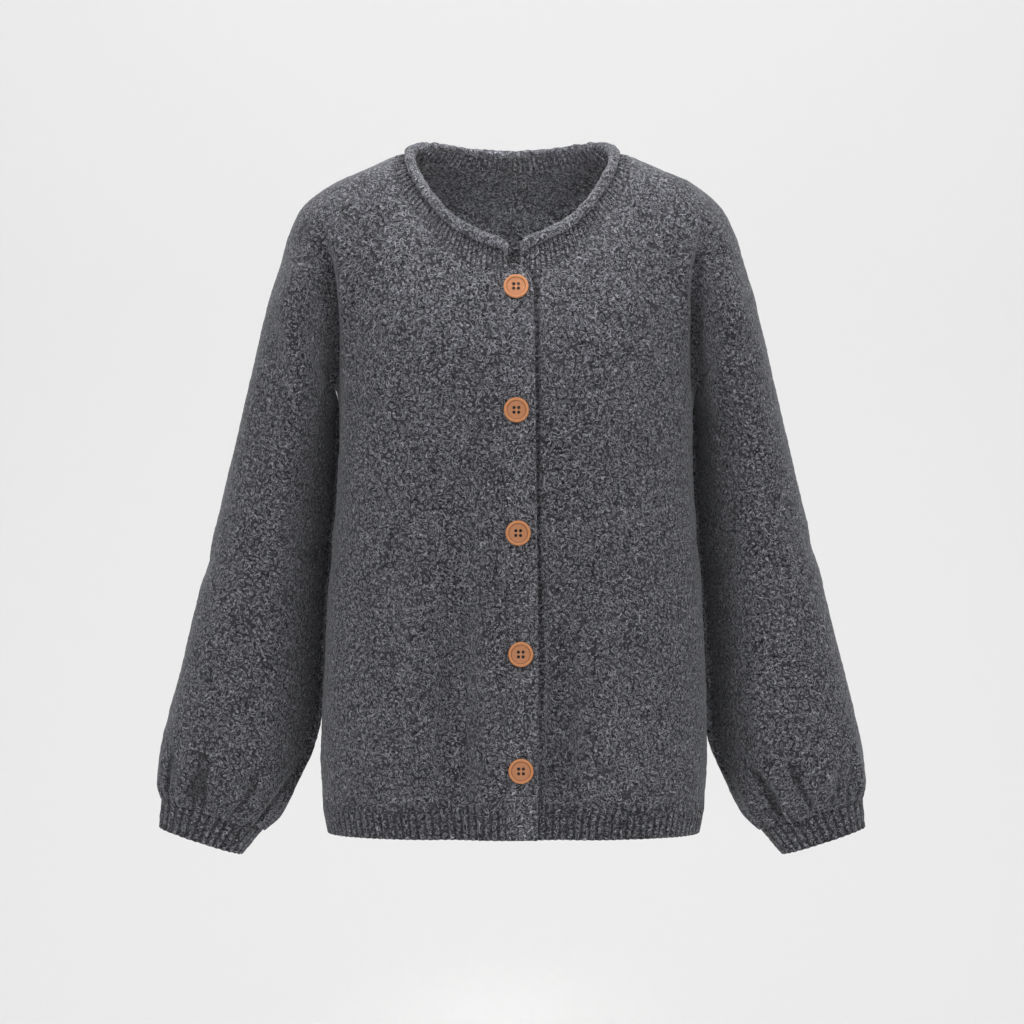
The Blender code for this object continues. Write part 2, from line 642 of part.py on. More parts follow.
def oval_ring(half, depth, power, count):
    """Evenly spaced points of an oval in its own plane, from its outer point by the front."""
    angles = np.linspace(0, 2 * math.pi, 721)
    across = np.sign(np.cos(angles)) * np.abs(np.cos(angles)) ** (2 / power) * half
    deep = -np.sign(np.sin(angles)) * np.abs(np.sin(angles)) ** (2 / power) * depth
    return resampled(np.stack([across, deep], axis=1), np.linspace(0, 1, count + 1))[:-1]


def build_sleeves(material, collection, parent):
    count = 2 * ROWS_HIGH
    for side, name in ((-1, "sleeve_right"), (1, "sleeve_left")):
        front, back = armhole(side, -1, ROWS_HIGH), armhole(side, 1, ROWS_HIGH)
        ring = np.concatenate([front[::-1], back[1:-1]])  # from the top, by the front, round
        high, low = sleeve_top(side), underarm(side)
        axis = high - low
        place_on_axis = ((ring - low) @ axis) / (axis @ axis)
        grid = []
        for j, f in enumerate(SLEEVE_ROWS):
            start = (high[2] + low[2]) / 2
            middle = start + f * (SLEEVE_END - start)
            rise = RING_RISE_TOP + (RING_RISE_LOW - RING_RISE_TOP) * smoothstep(f / 0.4)
            oz, iz = middle + rise / 2, middle - rise / 2
            ox = float(OUTSIDE(oz))
            rearward = SLEEVE_BACK * smoothstep(f / 0.3)
            tuck = SLEEVE_BACK * smoothstep(f / 0.08) - rearward
            clear = SLEEVE_CLEAR + UNDERARM_CLEAR * (1 - smoothstep((f - 0.01) / 0.035))
            hang = torso_edge(side, rearward + tuck, iz) + clear
            ix = max(float(hang), float(INSIDE(iz)) if iz < SLEEVE_INSIDE[0][0] else 0.0)
            if j == 0:
                grid.append(ring)
                continue
            outer, inner = np.array([ox, 0, oz]), np.array([ix, 0, iz])
            half = np.linalg.norm(outer - inner) / 2
            oval = oval_ring(half, float(DEPTH(f)), ARM_POWER, count)
            rest = smoothstep(f / 0.3)
            along = (1 - rest) * (2 * place_on_axis - 1) + rest * oval[:, 0] / half
            deep = (1 - rest) * ring[:, 1] + rest * oval[:, 1]
            points = (outer + inner) / 2 + along[:, None] * (outer - inner) / 2
            points[:, 1] += deep
            swell = GATHER_DEPTH * smoothstep((f - 0.84) / 0.12)
            pleat = np.cos(2 * math.pi * GATHERS * np.arange(count) / count)
            centre = (outer + inner) / 2
            ray = points - centre
            ray /= np.linalg.norm(ray, axis=1)[:, None]
            keep = np.abs(deep) / max(1.0, np.abs(deep).max())
            points += ray * (swell * pleat * keep)[:, None]
            points[:, 1] += rearward + tuck * np.clip(-along, 0, 1) ** 2
            for _ in range(5):
                near = torso_edge(side, points[:, 1], points[:, 2]) + clear - points[:, 0]
                points[:, 0] += np.maximum(near, 0)
            grid.append(points)
        grid = np.array(grid)
        closed = np.concatenate([grid, grid[:, :1]], axis=1)
        half_ring = armhole_amounts()
        ring_amounts = np.concatenate([half_ring[::-1], half_ring[1:]])
        cut = inset(closed, {"bottom": ring_amounts})[:, :-1]
        cut[..., 0] *= side
        middle_x = side * SLEEVE_MIDDLE
        piece = sheet(name, cut, material, collection, parent,
                      lambda p: (p[0] - middle_x, p[1], 0.0), closed=True)
        thicken(piece, WALL)


def build_cuffs(material, collection, parent):
    for side, name in ((-1, "cuff_right"), (1, "cuff_left")):
        grid = []
        for outer, inner, depth in (CUFF_BOTTOM, CUFF_TOP):
            outer, inner = (np.array([p[0], 0, p[1]]) for p in (outer, inner))
            half = np.linalg.norm(outer - inner) / 2 - WALL / 2
            oval = oval_ring(half, depth, CUFF_POWER, CUFF_COLUMNS)
            axis = (outer - inner) / np.linalg.norm(outer - inner)
            points = (outer + inner) / 2 + oval[:, :1] * axis
            points[:, 1] += oval[:, 1] + SLEEVE_BACK
            points[:, 0] *= side
            grid.append(points)
        middle_x = side * CUFF_MIDDLE
        piece = sheet(name, np.array(grid), material, collection, parent,
                      lambda p: (p[0] - middle_x, p[1], 0.0), closed=True)
        thicken(piece, RIB_CREST, 1.0, rib_weights(2, CUFF_COLUMNS))


def neck_path(panels):
    """Seam and roll points round the neck, from the over end round the back to the under end."""
    left, right = panels["front_right"][-1], panels["front_left"][-1]
    back = panels["back"][-1]
    front_count, back_count = NECK_COLUMNS_FRONT + 1, NECK_COLUMNS_BACK + 1
    across = len(back) // 2
    seam = np.concatenate([
        left[:front_count][:-1], back[across - back_count + 1:across + back_count],
        right[:front_count][::-1][1:]])
    start, end = seam[0].copy(), seam[-1].copy()
    start[0], end[0] = NECK_END_OVER, NECK_END_UNDER
    end[1] += OVERLAP_STEP * 0.8
    below = np.concatenate([
        panels["front_right"][-2][:front_count][:-1],
        panels["back"][-2][across - back_count + 1:across + back_count],
        panels["front_left"][-2][:front_count][::-1][1:]])
    into = below - seam
    return np.concatenate([[start], seam, [end]]), np.concatenate([into[:1], into, into[-1:]])


def roll_path(seam):
    """The roll's middle beside each point of the seam."""
    keys = np.array(NECK_FRONT + NECK_BACK[1:], float)
    steps = np.linalg.norm(np.diff(keys[:, :2], axis=0), axis=1)
    length = np.concatenate([[0], np.cumsum(steps)])
    shoulder = len(NECK_FRONT)
    roll_x, roll_y, roll_z = (smooth_curve(list(zip(length, keys[:, k]))) for k in (2, 3, 4))
    points = []
    for x, y, z in seam:
        part = slice(0, shoulder) if y < 0 else slice(shoulder - 1, None)
        dense = np.linspace(length[part][0], length[part][-1], 400)
        seam_x = np.interp(dense, length[part], keys[part, 0])
        seam_z = np.interp(dense, length[part], keys[part, 1])
        at = dense[np.argmin((seam_x - abs(x)) ** 2 + (seam_z - z) ** 2)]
        points.append([math.copysign(roll_x(at), x), float(roll_y(at)), float(roll_z(at))])
    return np.array(points)


def build_neck(panels, material, collection, parent):
    """Ribbed neckband, and the rolled edge that curls outward along its top."""
    seam, into = neck_path(panels)
    dense = np.linspace(0, len(seam) - 1, 12 * (len(seam) - 1) + 1)
    mark = np.arange(len(seam))
    fine = np.stack([np.interp(dense, mark, seam[:, k]) for k in range(3)], axis=1)
    into = np.stack([np.interp(dense, mark, into[:, k]) for k in range(3)], axis=1)
    roll = roll_path(fine)
    # The two ends keep their own x, because the ring is open there.
    ends = (fine[:, 1] < -60) & (np.abs(fine[:, 0]) < 12)
    roll[ends, 0] = fine[ends, 0]
    for end, rolled in ((fine[0], ROLL_END_OVER), (fine[-1], ROLL_END_UNDER)):
        away = np.linalg.norm(fine - end, axis=1)
        roll[:, 0] += (rolled - end[0]) * (1 - smoothstep(away / 20))
    for _ in range(60):
        roll[1:-1] = (roll[:-2] + 2 * roll[1:-1] + roll[2:]) / 4
    length = np.linalg.norm(np.diff(fine, axis=0), axis=1).sum()
    share = np.linspace(0, 1, 2 * round(length / NECK_RIB) + 1)
    low, top = resampled(fine, share), resampled(roll, share)
    up = top - low
    up /= np.linalg.norm(up, axis=1)[:, None]
    along = np.gradient((low + top) / 2, axis=0)
    out = np.cross(up, along)
    out /= np.linalg.norm(out, axis=1)[:, None]
    out *= np.sign((out * (low * (1, 1, 0))).sum(axis=1).mean())
    from_end = np.linalg.norm(np.diff(top, axis=0), axis=1).cumsum()
    from_end = np.concatenate([[0], from_end])
    from_end = np.minimum(from_end, from_end[-1] - from_end)
    corner = np.clip(NECK_END_ROUND - from_end, 0, None)
    drop = NECK_END_ROUND - np.sqrt(NECK_END_ROUND**2 - 0.9 * corner**2)
    edge = top - out * ROLL_RADIUS - up * drop[:, None]
    up = edge - low
    up /= np.linalg.norm(up, axis=1)[:, None]
    # Where the band folds away from the panel its foot stands off the seam by more.
    length = np.concatenate([[0], np.cumsum(np.linalg.norm(np.diff(fine, axis=0), axis=1))])
    into = np.stack([np.interp(share, length / length[-1], into[:, k]) for k in range(3)], axis=1)
    side_way = np.gradient(low, axis=0)
    side_way /= np.linalg.norm(side_way, axis=1)[:, None]
    into -= (into * side_way).sum(axis=1)[:, None] * side_way
    into /= np.linalg.norm(into, axis=1)[:, None]
    bend = np.clip(-(up * into).sum(axis=1), -0.5, 1)
    foot = NECK_FOOT + NECK_FOOT_FOLD * np.sqrt((1 - bend) / (1 + bend))
    grid = np.stack([low + up * foot[:, None], edge - up * NECK_TOP])
    grid = grid - out * WALL / 2
    piece = sheet("neckband", grid, material, collection, parent, lambda p: (p[0], p[1], 0.0))
    thicken(piece, RIB_CREST, 1.0, rib_weights(2, len(share)))
    # The curl starts above the band and turns outward and down.
    picks = sorted({1, 2, 6, *range(0, len(share), 4), len(share) - 3, len(share) - 2})
    curl = []
    for angle in np.radians(np.linspace(180, -80, 7)):
        turn = out[picks] * (math.cos(angle) + 1) + up[picks] * math.sin(angle)
        curl.append(edge[picks] + turn * ROLL_RADIUS)
    piece = sheet("neck_roll", np.array(curl), material, collection, parent,
                  lambda p: (p[0], p[1], 40.0))
    thicken(piece, ROLL_WALL)


def button_mesh(material):
    """A turned button: rounded rim, groove and dished middle, with four holes."""
    r, t = BUTTON_D / 2, BUTTON_T
    profile = ((0.0, t * 0.62), (r * 0.76, t * 0.7), (r * 0.87, t), (r, t * 0.72),
               (r * 0.84, 0.0), (0.0, 0.0))
    mesh = bpy.data.meshes.new("button_profile")
    mesh.from_pydata([(x * MM, 0, z * MM) for x, z in profile], [],
                     [(k, k + 1) for k in range(len(profile) - 1)])
    turned = bpy.data.objects.new("button_profile", mesh)
    bpy.context.scene.collection.objects.link(turned)
    screw = turned.modifiers.new("Turn", "SCREW")
    screw.steps = screw.render_steps = 16
    screw.use_merge_vertices, screw.merge_threshold = True, 0.00001
    cutters = []
    for k in range(4):
        angle = math.pi / 4 + k * math.pi / 2
        radius = BUTTON_HOLE_PITCH / math.sqrt(2) * MM
        bpy.ops.mesh.primitive_cylinder_add(
            vertices=6, radius=BUTTON_HOLE_D / 2 * MM, depth=3 * BUTTON_T * MM,
            location=(radius * math.cos(angle), radius * math.sin(angle), 0))
        cutter = bpy.context.object
        cutters.append(cutter)
        cut = turned.modifiers.new("Hole", "BOOLEAN")
        cut.operation, cut.object = "DIFFERENCE", cutter
    bpy.context.view_layer.update()
    graph = bpy.context.evaluated_depsgraph_get()
    result = bpy.data.meshes.new_from_object(turned.evaluated_get(graph))
    for helper in (*cutters, turned):
        bpy.data.objects.remove(helper, do_unlink=True)
    result.name = "button"
    result.materials.clear()
    result.materials.append(material)
    shape = bmesh.new()
    shape.from_mesh(result)
    bmesh.ops.recalc_face_normals(shape, faces=shape.faces)
    shape.to_mesh(result)
    shape.free()
    result.shade_smooth()
    result.set_sharp_from_angle(angle=math.radians(38))
    return result


def build_buttons(material, collection, parent):
    shared = button_mesh(material)
    for number, (x, z) in enumerate(BUTTONS, 1):
        spots = np.array([[x, -100.0, z + dz] for dz in (0.0, 8.0, -8.0)])
        spots = front_shape(onto_surface(1, spots, fixed=(0, 2)))
        slope = (spots[1] - spots[2]) / np.linalg.norm(spots[1] - spots[2])
        facing = Vector((0, -slope[2], slope[1])).normalized()
        lift = OVERLAP_STEP + BAND_WALL / 2 + BUTTON_GAP
        button = place(f"button_{number}", shared, material, collection, parent)
        button.location = (Vector(spots[0]) + facing * lift) * MM
        button.rotation_mode = "QUATERNION"
        button.rotation_quaternion = facing.to_track_quat("Z", "Y")


def main():
    for item in list(bpy.data.objects):
        bpy.data.objects.remove(item, do_unlink=True)
    collection = bpy.data.collections.new("button_cardigan")
    bpy.context.scene.collection.children.link(collection)
    hold = bpy.data.objects.new("wearer_hold", None)
    collection.objects.link(hold)
    yarn = add_material("charcoal_marl_knit", (0.105, 0.106, 0.118), 0.95)
    wood = add_material("turned_wood", (0.56, 0.26, 0.12), 0.5)
    panels = build_body(yarn, collection, hold)
    build_hem(yarn, collection, hold)
    build_bands(yarn, collection, hold)
    build_sleeves(yarn, collection, hold)
    build_cuffs(yarn, collection, hold)
    build_neck(panels, yarn, collection, hold)
    build_buttons(wood, collection, hold)


if __name__ == "__main__":
    main()
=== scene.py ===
"""Finishes the knitted button cardigan: the yarn, the ribs, the rolled neck, the creases and
the turned wooden buttons, laid on the rigid model of the same garment.

It is laid out as an add-on with one operator for each group of pieces. Lengths in the tables
are millimetres, with +Z up, the front towards -Y and the wearer's right towards -X.
"""

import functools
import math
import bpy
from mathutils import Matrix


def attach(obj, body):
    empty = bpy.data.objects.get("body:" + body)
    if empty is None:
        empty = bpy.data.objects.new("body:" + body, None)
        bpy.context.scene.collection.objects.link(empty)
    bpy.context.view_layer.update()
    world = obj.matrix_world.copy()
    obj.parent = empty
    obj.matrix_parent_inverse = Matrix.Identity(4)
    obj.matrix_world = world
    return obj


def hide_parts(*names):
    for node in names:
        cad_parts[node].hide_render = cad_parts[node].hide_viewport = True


bl_info = {
    "name": "Button cardigan finish",
    "version": (1, 0, 0),
    "blender": (4, 5, 0),
    "location": "3D View > Sidebar > Cardigan",
    "description": "Knitted pieces, rolled neck and turned buttons of a button cardigan",
    "category": "Object",
}

import bmesh
import bpy
import numpy as np
from bpy.props import FloatProperty, FloatVectorProperty, IntProperty, PointerProperty
from mathutils import Matrix, Vector

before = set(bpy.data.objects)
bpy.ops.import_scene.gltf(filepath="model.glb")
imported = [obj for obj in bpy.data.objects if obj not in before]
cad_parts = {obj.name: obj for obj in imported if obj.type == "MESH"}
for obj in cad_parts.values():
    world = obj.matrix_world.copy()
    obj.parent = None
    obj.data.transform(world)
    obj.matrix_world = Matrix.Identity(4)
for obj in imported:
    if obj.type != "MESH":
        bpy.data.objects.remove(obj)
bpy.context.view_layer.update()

MM = 0.001  # the dimensions below are in millimetres

# Cloth
WALL = 2.2  # plain knit
BAND_WALL = 2.4  # front bands
SEAM = 0.5  # between the edges of two pieces sewn together
OVERLAP_STEP = 1.8  # each front leaves the mean surface by this much at the overlap
OVERLAP_REACH = 55.0  # and comes back to it over this width
UNDERARM_EXTRA = 0.4  # how much wider the seam is at the underarm, where it folds tightly

# Body lengths
Z_SHOULDER = 7.0  # shoulder point at the neck
Z_SLEEVE_TOP = -118.0  # end of the shoulder seam on the upper arm
Z_UNDERARM = -205.0
Z_HEM_TOP = -589.5
Z_HEM = -612.0
Z_NECK_FRONT = -103.0

# Ribs
HEM_RIB, NECK_RIB = 6.9, 5.2  # pitch
RIB_CREST, RIB_VALLEY = 3.0, 1.9  # wall at a crest and between two crests

# Rolled edge of the neckband
ROLL_RADIUS = 4.2  # middle of the wall
ROLL_WALL = 2.2

# Front closing
BUTTON_D, BUTTON_T = 22.5, 4.0
BUTTON_HOLE_D, BUTTON_HOLE_PITCH = 2.1, 4.2
BUTTON_GAP = 0.8  # from the band to the button's back
BUTTON_BODY, BUTTON_BACK = 0.72, 0.84  # height under the turned rings, and the back's width
BUTTON_GROOVE = 0.79  # place of the groove, as a share of the radius
# Rings of a button from its edge inward: share of the radius and of the thickness.
BUTTON_PROFILE = (
    (0.965, 0.9), (0.91, 0.99), (0.86, 1.0), (0.82, 0.93), (BUTTON_GROOVE, 0.74), (0.76, 0.70),
    (0.70, 0.70), (0.5, 0.65), (0.2, 0.62),
)
BUTTONS = ((3.6, -118.9), (3.9, -228.8), (5.5, -338.0), (7.8, -446.0), (8.0, -550.0))
# Columns of a band as shares of its width, and how far the over band's top rises in each.
BAND_SHARES = np.array([0.0, 0.17, 0.25, 0.5, 0.76, 0.92, 1.0])
TOP_OVER = np.array([-1.2, -1.0, 4.6, 5.2, 1.2, -5.0, -14.0])
TOP_UNDER = -1.0  # and the under band's, which is straight
BAND_TOP_LENGTH = 57.0  # over which the bands' top edges are shaped
UNDER_WIDER = 0.8  # how much further in the under band reaches

# Grid sizes
ROWS_LOW = (-589.5, -540.0, -490.0, -440.0, -390.0, -340.0, -290.0, -245.0, -217.0, -208.0, -205.0)
ROWS_HIGH = 11
NECK_COLUMNS_FRONT, NECK_COLUMNS_BACK, SHOULDER_COLUMNS = 10, 6, 6

# Horizontal sections from the shoulder down to the hem. width is the torso's half width and
# shift its middle, front and back are its depths. reach is the outside of the shoulder and
# upper arm, gap the space from the torso to the arm (negative where they run together), and
# thick the arm's half depth.
SECTION_COLUMNS = ("z", "width", "shift", "front", "back", "reach", "gap", "thick")
SECTIONS = (
    (7.0, 84.0, 0.0, 18.0, 32.0, 108.0, -22.0, 12.0),
    (-4.5, 107.0, 0.0, 27.5, 47.8, 131.8, -33.0, 22.0),
    (-11.6, 124.0, 0.0, 34.0, 55.5, 149.5, -42.0, 30.0),
    (-19.0, 139.0, 0.0, 39.3, 62.5, 164.7, -51.0, 36.0),
    (-26.3, 152.0, 0.0, 44.0, 68.5, 176.3, -61.0, 41.0),
    (-33.0, 162.0, 0.0, 48.2, 73.5, 184.8, -68.0, 45.0),
    (-43.7, 171.0, 0.0, 55.0, 79.5, 194.0, -75.0, 49.5),
    (-54.0, 174.0, 0.5, 61.2, 84.5, 200.0, -74.0, 53.5),
    (-69.0, 172.0, 1.0, 70.0, 91.0, 205.6, -62.0, 58.5),
    (-91.0, 167.0, 2.0, 80.0, 97.0, 211.8, -41.0, 63.0),
    (-113.0, 163.0, 3.0, 88.0, 102.0, 219.0, -26.0, 66.0),
    (-140.0, 161.0, 3.8, 96.0, 106.0, 226.6, -10.0, 67.0),
    (-161.0, 161.0, 3.8, 100.0, 108.0, 231.4, -1.0, 67.0),
    (-185.0, 161.0, 3.8, 104.0, 109.0, 237.0, 7.0, 67.0),
    (-205.0, 161.0, 3.8, 106.0, 109.0, 242.0, 14.0, 67.0),
    (-230.0, 161.0, 3.8, 108.0, 109.0, 248.0, 24.0, 67.0),
    (-245.0, 161.4, 3.6, 109.0, 108.5, 252.0, 40.0, 66.0),
    (-300.0, 163.0, 3.2, 110.0, 108.0, 264.0, 60.0, 64.0),
    (-355.0, 167.5, 2.8, 110.0, 107.0, 276.0, 60.0, 62.0),
    (-410.0, 171.6, 3.0, 109.0, 107.0, 288.0, 60.0, 60.0),
    (-465.0, 173.8, 2.8, 109.0, 107.0, 300.0, 60.0, 60.0),
    (-529.0, 176.2, 1.5, 110.0, 108.0, 314.0, 60.0, 60.0),
    (-575.0, 175.3, 1.3, 110.0, 109.0, 324.0, 60.0, 60.0),
    (-598.0, 171.8, 1.5, 107.5, 107.0, 326.0, 60.0, 60.0),
    (-612.0, 169.0, 1.5, 105.0, 104.5, 326.0, 60.0, 60.0),
)
TORSO_POWER, ARM_POWER = 2.5, 2.25  # how square the superellipses are
BLEND = 28.0  # width of the fold where the arm meets the torso

# Outside edge of the sleeve seen from the front, as half widths.
SLEEVE_OUTSIDE = (
    (-118.0, 220.3), (-124.0, 222.2), (-143.0, 226.8), (-161.0, 231.4), (-198.0, 240.1),
    (-253.0, 253.0), (-290.0, 262.2), (-345.0, 275.5), (-382.0, 284.3), (-419.0, 293.9),
    (-455.0, 302.7), (-492.0, 312.3), (-529.0, 321.0), (-547.0, 324.2), (-560.0, 325.6),
    (-570.0, 325.9), (-578.0, 324.9), (-583.0, 322.8),
)
# Inside edge below the place where it leaves the torso.
SLEEVE_INSIDE = (
    (-521.0, 179.8), (-540.0, 186.0), (-558.0, 194.0), (-580.0, 204.5), (-595.0, 213.0),
    (-605.0, 221.5), (-611.5, 229.5),
)
SLEEVE_CLEAR = 3.2  # from the torso's wall to the sleeve's, middle to middle
UNDERARM_CLEAR = 2.4  # and how much more close to the armhole
# Half depth of the sleeve along its length (0 at the armhole, 1 at the cuff).
SLEEVE_DEPTH = (
    (0.0, 67.0), (0.2, 65.0), (0.45, 62.0), (0.7, 60.0), (0.85, 57.0), (0.93, 50.0), (1.0, 35.0),
)
SLEEVE_ROWS = (0.0, 0.012, 0.035, 0.08, 0.17, 0.28, 0.4, 0.52, 0.63, 0.74, 0.83, 0.89, 0.94,
               0.975, 1.0)
SLEEVE_TURN = 0.3  # share of the length over which the armhole's form becomes the sleeve's
SLEEVE_BACK = 20.0  # how far back the forearm hangs
SLEEVE_END = -597.0  # middle of the sleeve's lower end
SPREAD_TOP, SPREAD_END = 87.0, 29.0  # from the outer to the inner side of a ring, in height

# Cuff edges in the XZ plane, outer and inner point, and half depth there.
CUFF_TOP = ((323.4, -583.4), (231.3, -612.9), 32.5)
CUFF_BOTTOM = ((325.8, -609.8), (249.6, -634.5), 27.0)
CUFF_COLUMNS, CUFF_POWER = 2 * 32, 2.3

# Neckline, from the centre front to the centre back. The seam joins the panels to the
# neckband and the roll is the middle of the rolled edge at the band's top. Columns: the seam's
# x and z, and the roll's x, y and z.
NECK_FRONT = (
    (0.0, -103.2, 0.0, -82.5, -78.2),
    (6.0, -103.0, 5.5, -82.5, -78.0),
    (30.0, -100.8, 22.5, -81.0, -73.6),
    (49.4, -89.1, 36.9, -76.0, -66.8),
    (63.1, -76.8, 51.4, -68.0, -58.5),
    (77.7, -61.6, 65.2, -58.0, -45.5),
    (88.9, -47.0, 76.8, -47.0, -31.0),
    (98.9, -31.3, 86.3, -36.0, -15.2),
    (105.2, -16.6, 92.2, -26.0, -3.0),
    (108.2, -3.7, 94.2, -13.0, 6.2),
    (108.0, 7.0, 92.3, 5.0, 13.8),
)
NECK_BACK = (
    (108.0, 7.0, 92.3, 5.0, 13.8),
    (104.0, 7.4, 87.6, 14.0, 18.4),
    (96.0, 7.0, 80.2, 22.0, 19.6),
    (80.0, 4.8, 65.8, 31.0, 17.5),
    (50.0, 0.5, 41.9, 40.0, 14.0),
    (0.0, -3.2, 0.0, 45.0, 11.7),
)
NECK_END_OVER, NECK_END_UNDER = -4.0, 7.0  # x of the two ends of the neckband
ROLL_END_OVER, ROLL_END_UNDER = -5.6, 9.0  # and of the roll
NECK_END_ROUND = 8.0  # radius of the rounded corner at each end
NECK_DENSE = 12  # points between two of the panels' columns, before the ribs are set out
ROLL_END_REACH, ROLL_ROUNDS = 20.0, 60  # length of the roll's drawn-out ends, and its smoothing

# Soft hollows that hang down beside the front bands, each from its first height.
HOLLOW_COLUMNS = ("z", "x", "depth", "width")
HOLLOWS = (
    ((-230.0, -44.0, 0.0, 24.0), (-330.0, -47.0, 3.5, 24.0), (-450.0, -50.0, 7.0, 23.0),
     (-612.0, -53.0, 8.0, 22.0)),
    ((-380.0, 47.0, 0.0, 20.0), (-460.0, 47.0, 3.5, 20.0), (-540.0, 44.0, 7.0, 20.0),
     (-612.0, 40.0, 7.5, 20.0)),
)

# Fine cloth
INNER_STEP = 4  # the plain inner wall has one point for so many of the outer grid's
INNER_EARLY = 8.0  # how much sooner the inner wall steps back at a fold
SEAM_EXTRA = 0.3  # how much further back the soft edges start than the solids' edges
SEAM_DRAW = SEAM / 2 + SEAM_EXTRA
SIDE_EXTRA = 0.1  # the same at the side seams, armholes, shoulders and neckline
NECK_DRAW_FRONT, NECK_DRAW_BACK, SHOULDER_DRAW = 0.9 * SEAM, 0.3 * SEAM, 1.8 * SEAM
SEAM_ROUND = 0.2  # share of the wall by which a sewn edge is rounded outward
SWELLINGS = ((34.0, 0.9, 3), (15.0, 0.35, 4))  # soft unevenness: size, height and seed
RIB_FADE = 21.0  # height over which the ribs fade out in the panels
RIB_COLUMNS = 8  # points across one rib
RIB_LUMP = 3.2  # size of the yarn's lumps on a rib
CREASE_LIP = 0.32  # height of the soft lip beside a crease, as a share of its depth
GATHERS, GATHER_DEPTH = 9, 2.6  # folds round the sleeve above the cuff
SMALL_GATHERS, SMALL_GATHER_DEPTH = 21, 1.1
GATHER_SHADE = 0.42  # painted shade in a gather's valleys, for each millimetre of depth

# Front bands in fine
BAND_LUMPS = ((4.2, 0.35, 7), (22.0, 0.5, 8))  # size, height and seed
BAND_EDGE = 1.1  # how much fuller the over band is along its free edge
BAND_EDGE_AT, BAND_EDGE_WIDTH = 0.93, 0.07  # as shares of the band's width
BAND_RIM_AT, BAND_RIM_WIDTH = 2.0, 1.4  # the same fullness along its top
BAND_ROUND = 0.34  # share of the wall by which a band's edges are rounded outward
UNDER_DROP = 3.2  # how far the under band lies back behind the over band's rounded corner

# Neck in fine
NECK_CREST = 2.1  # height of the neckband's ribs over the middle of its wall
NECK_TOP_GAP = 3.2 * SEAM  # from the neckband's top edge to the roll's start
NECK_FOOT, NECK_FOOT_FOLD = 0.42, 1.15  # from the panels to the band's foot, and more in a fold
CURL_FROM, CURL_TO, CURL_POINTS = 180, -80, 14  # turn of the rolled edge, in degrees
ROLL_LUMPS = ((3.6, 1.0, 11), (9.0, 0.5, 12))  # size, height and seed
ROLL_FULLNESS = 0.3

# Creases: the side that they are seen from, then for each point its place across and up,
# the depth, negative for a ridge, and the width.
CREASES = (
    # Over the upper arms and at the armholes.
    ("front", ((-180, -84, 0, 14), (-192, -112, -3.6, 11), (-200, -150, -3.4, 11),
               (-198, -196, 0, 12))),
    ("front", ((-222, -138, 0, 12), (-214, -180, 4.6, 12), (-216, -232, 4.0, 13),
               (-236, -262, 1.5, 13), (-247, -308, 0, 13))),
    # The troughs beside the front bands.
    ("front", ((-46, -270, 0, 18), (-50, -370, 6.5, 17), (-52, -480, 13.0, 16),
               (-50, -550, 12.5, 15), (-49, -590, 4.0, 14))),
    ("front", ((47, -330, 0, 16), (45, -430, 8.0, 15), (41, -530, 12.5, 14),
               (38, -590, 5.0, 14))),
    # The groove along the over band's rounded corner and free edge.
    ("front", ((9, -98, 5.0, 2.6), (14.5, -101.8, 6.5, 2.8), (18.8, -107.5, 6.5, 2.8),
               (21.3, -117, 6.2, 2.7), (22.3, -230, 5.0, 2.5), (23.5, -340, 4.6, 2.5),
               (24.7, -450, 4.6, 2.5), (24.7, -580, 3.6, 2.5), (24.7, -591, 2.0, 2.5))),
    # The other side's upper arm and armhole.
    ("front", ((180, -92, 0, 14), (190, -118, -2.6, 12), (196, -150, -2.2, 12),
               (196, -182, 0, 12))),
    ("front", ((206, -150, 0, 13), (205, -179, 3.0, 13), (198, -220, 3.0, 12),
               (206, -281, 0, 13))),
    ("front", ((236, -228, 0, 13), (233, -250, -2.2, 12), (228, -299, 0, 12))),
    # Across the forearms.
    ("front", ((-287, -518, 0, 11), (-264, -536, 2.4, 10), (-236, -547, 0, 10))),
    ("front", ((240, -488, 0, 11), (262, -494, 2.2, 10), (276, -486, 0, 10))),
    ("front", ((262, -522, 0, 10), (282, -530, 2.4, 9), (300, -524, 0, 9))),
    # Down the chest.
    ("front", ((-66, -160, 0, 30), (-66, -200, 1.8, 34), (-60, -260, 0, 30))),
    ("front", ((72, -165, 0, 28), (74, -208, 2.0, 34), (66, -270, 0, 30))),
    # Down the back, at the armholes behind, and across the elbows.
    ("back", ((-90, -150, 0, 26), (-80, -300, 3.0, 24), (-92, -480, 5.0, 24),
              (-95, -600, 5.5, 24))),
    ("back", ((20, -260, 0, 22), (12, -400, 2.8, 22), (22, -520, 4.5, 22),
              (24, -600, 5.0, 22))),
    ("back", ((104, -240, 0, 24), (100, -380, 3.6, 22), (88, -500, 4.2, 22),
              (84, -600, 4.0, 22))),
    ("back", ((-180, -150, 0, 12), (-196, -200, 3.0, 12), (-204, -270, 0, 12))),
    ("back", ((182, -140, 0, 12), (198, -196, 3.2, 12), (202, -262, 0, 12))),
    ("back", ((-236, -372, 0, 12), (-216, -392, 2.6, 11), (-200, -388, 0, 11))),
    ("back", ((206, -360, 0, 12), (224, -378, 2.8, 11), (246, -372, 0, 11))),
    ("left", ((-30, -330, 0, 12), (0, -352, 2.4, 12), (34, -346, 0, 12))),
    ("right", ((-24, -350, 0, 12), (6, -368, 2.2, 12), (36, -356, 0, 12))),
)

SLOPE_STEP = 0.06  # the step, in strand spacings, over which a noise field's slope is taken

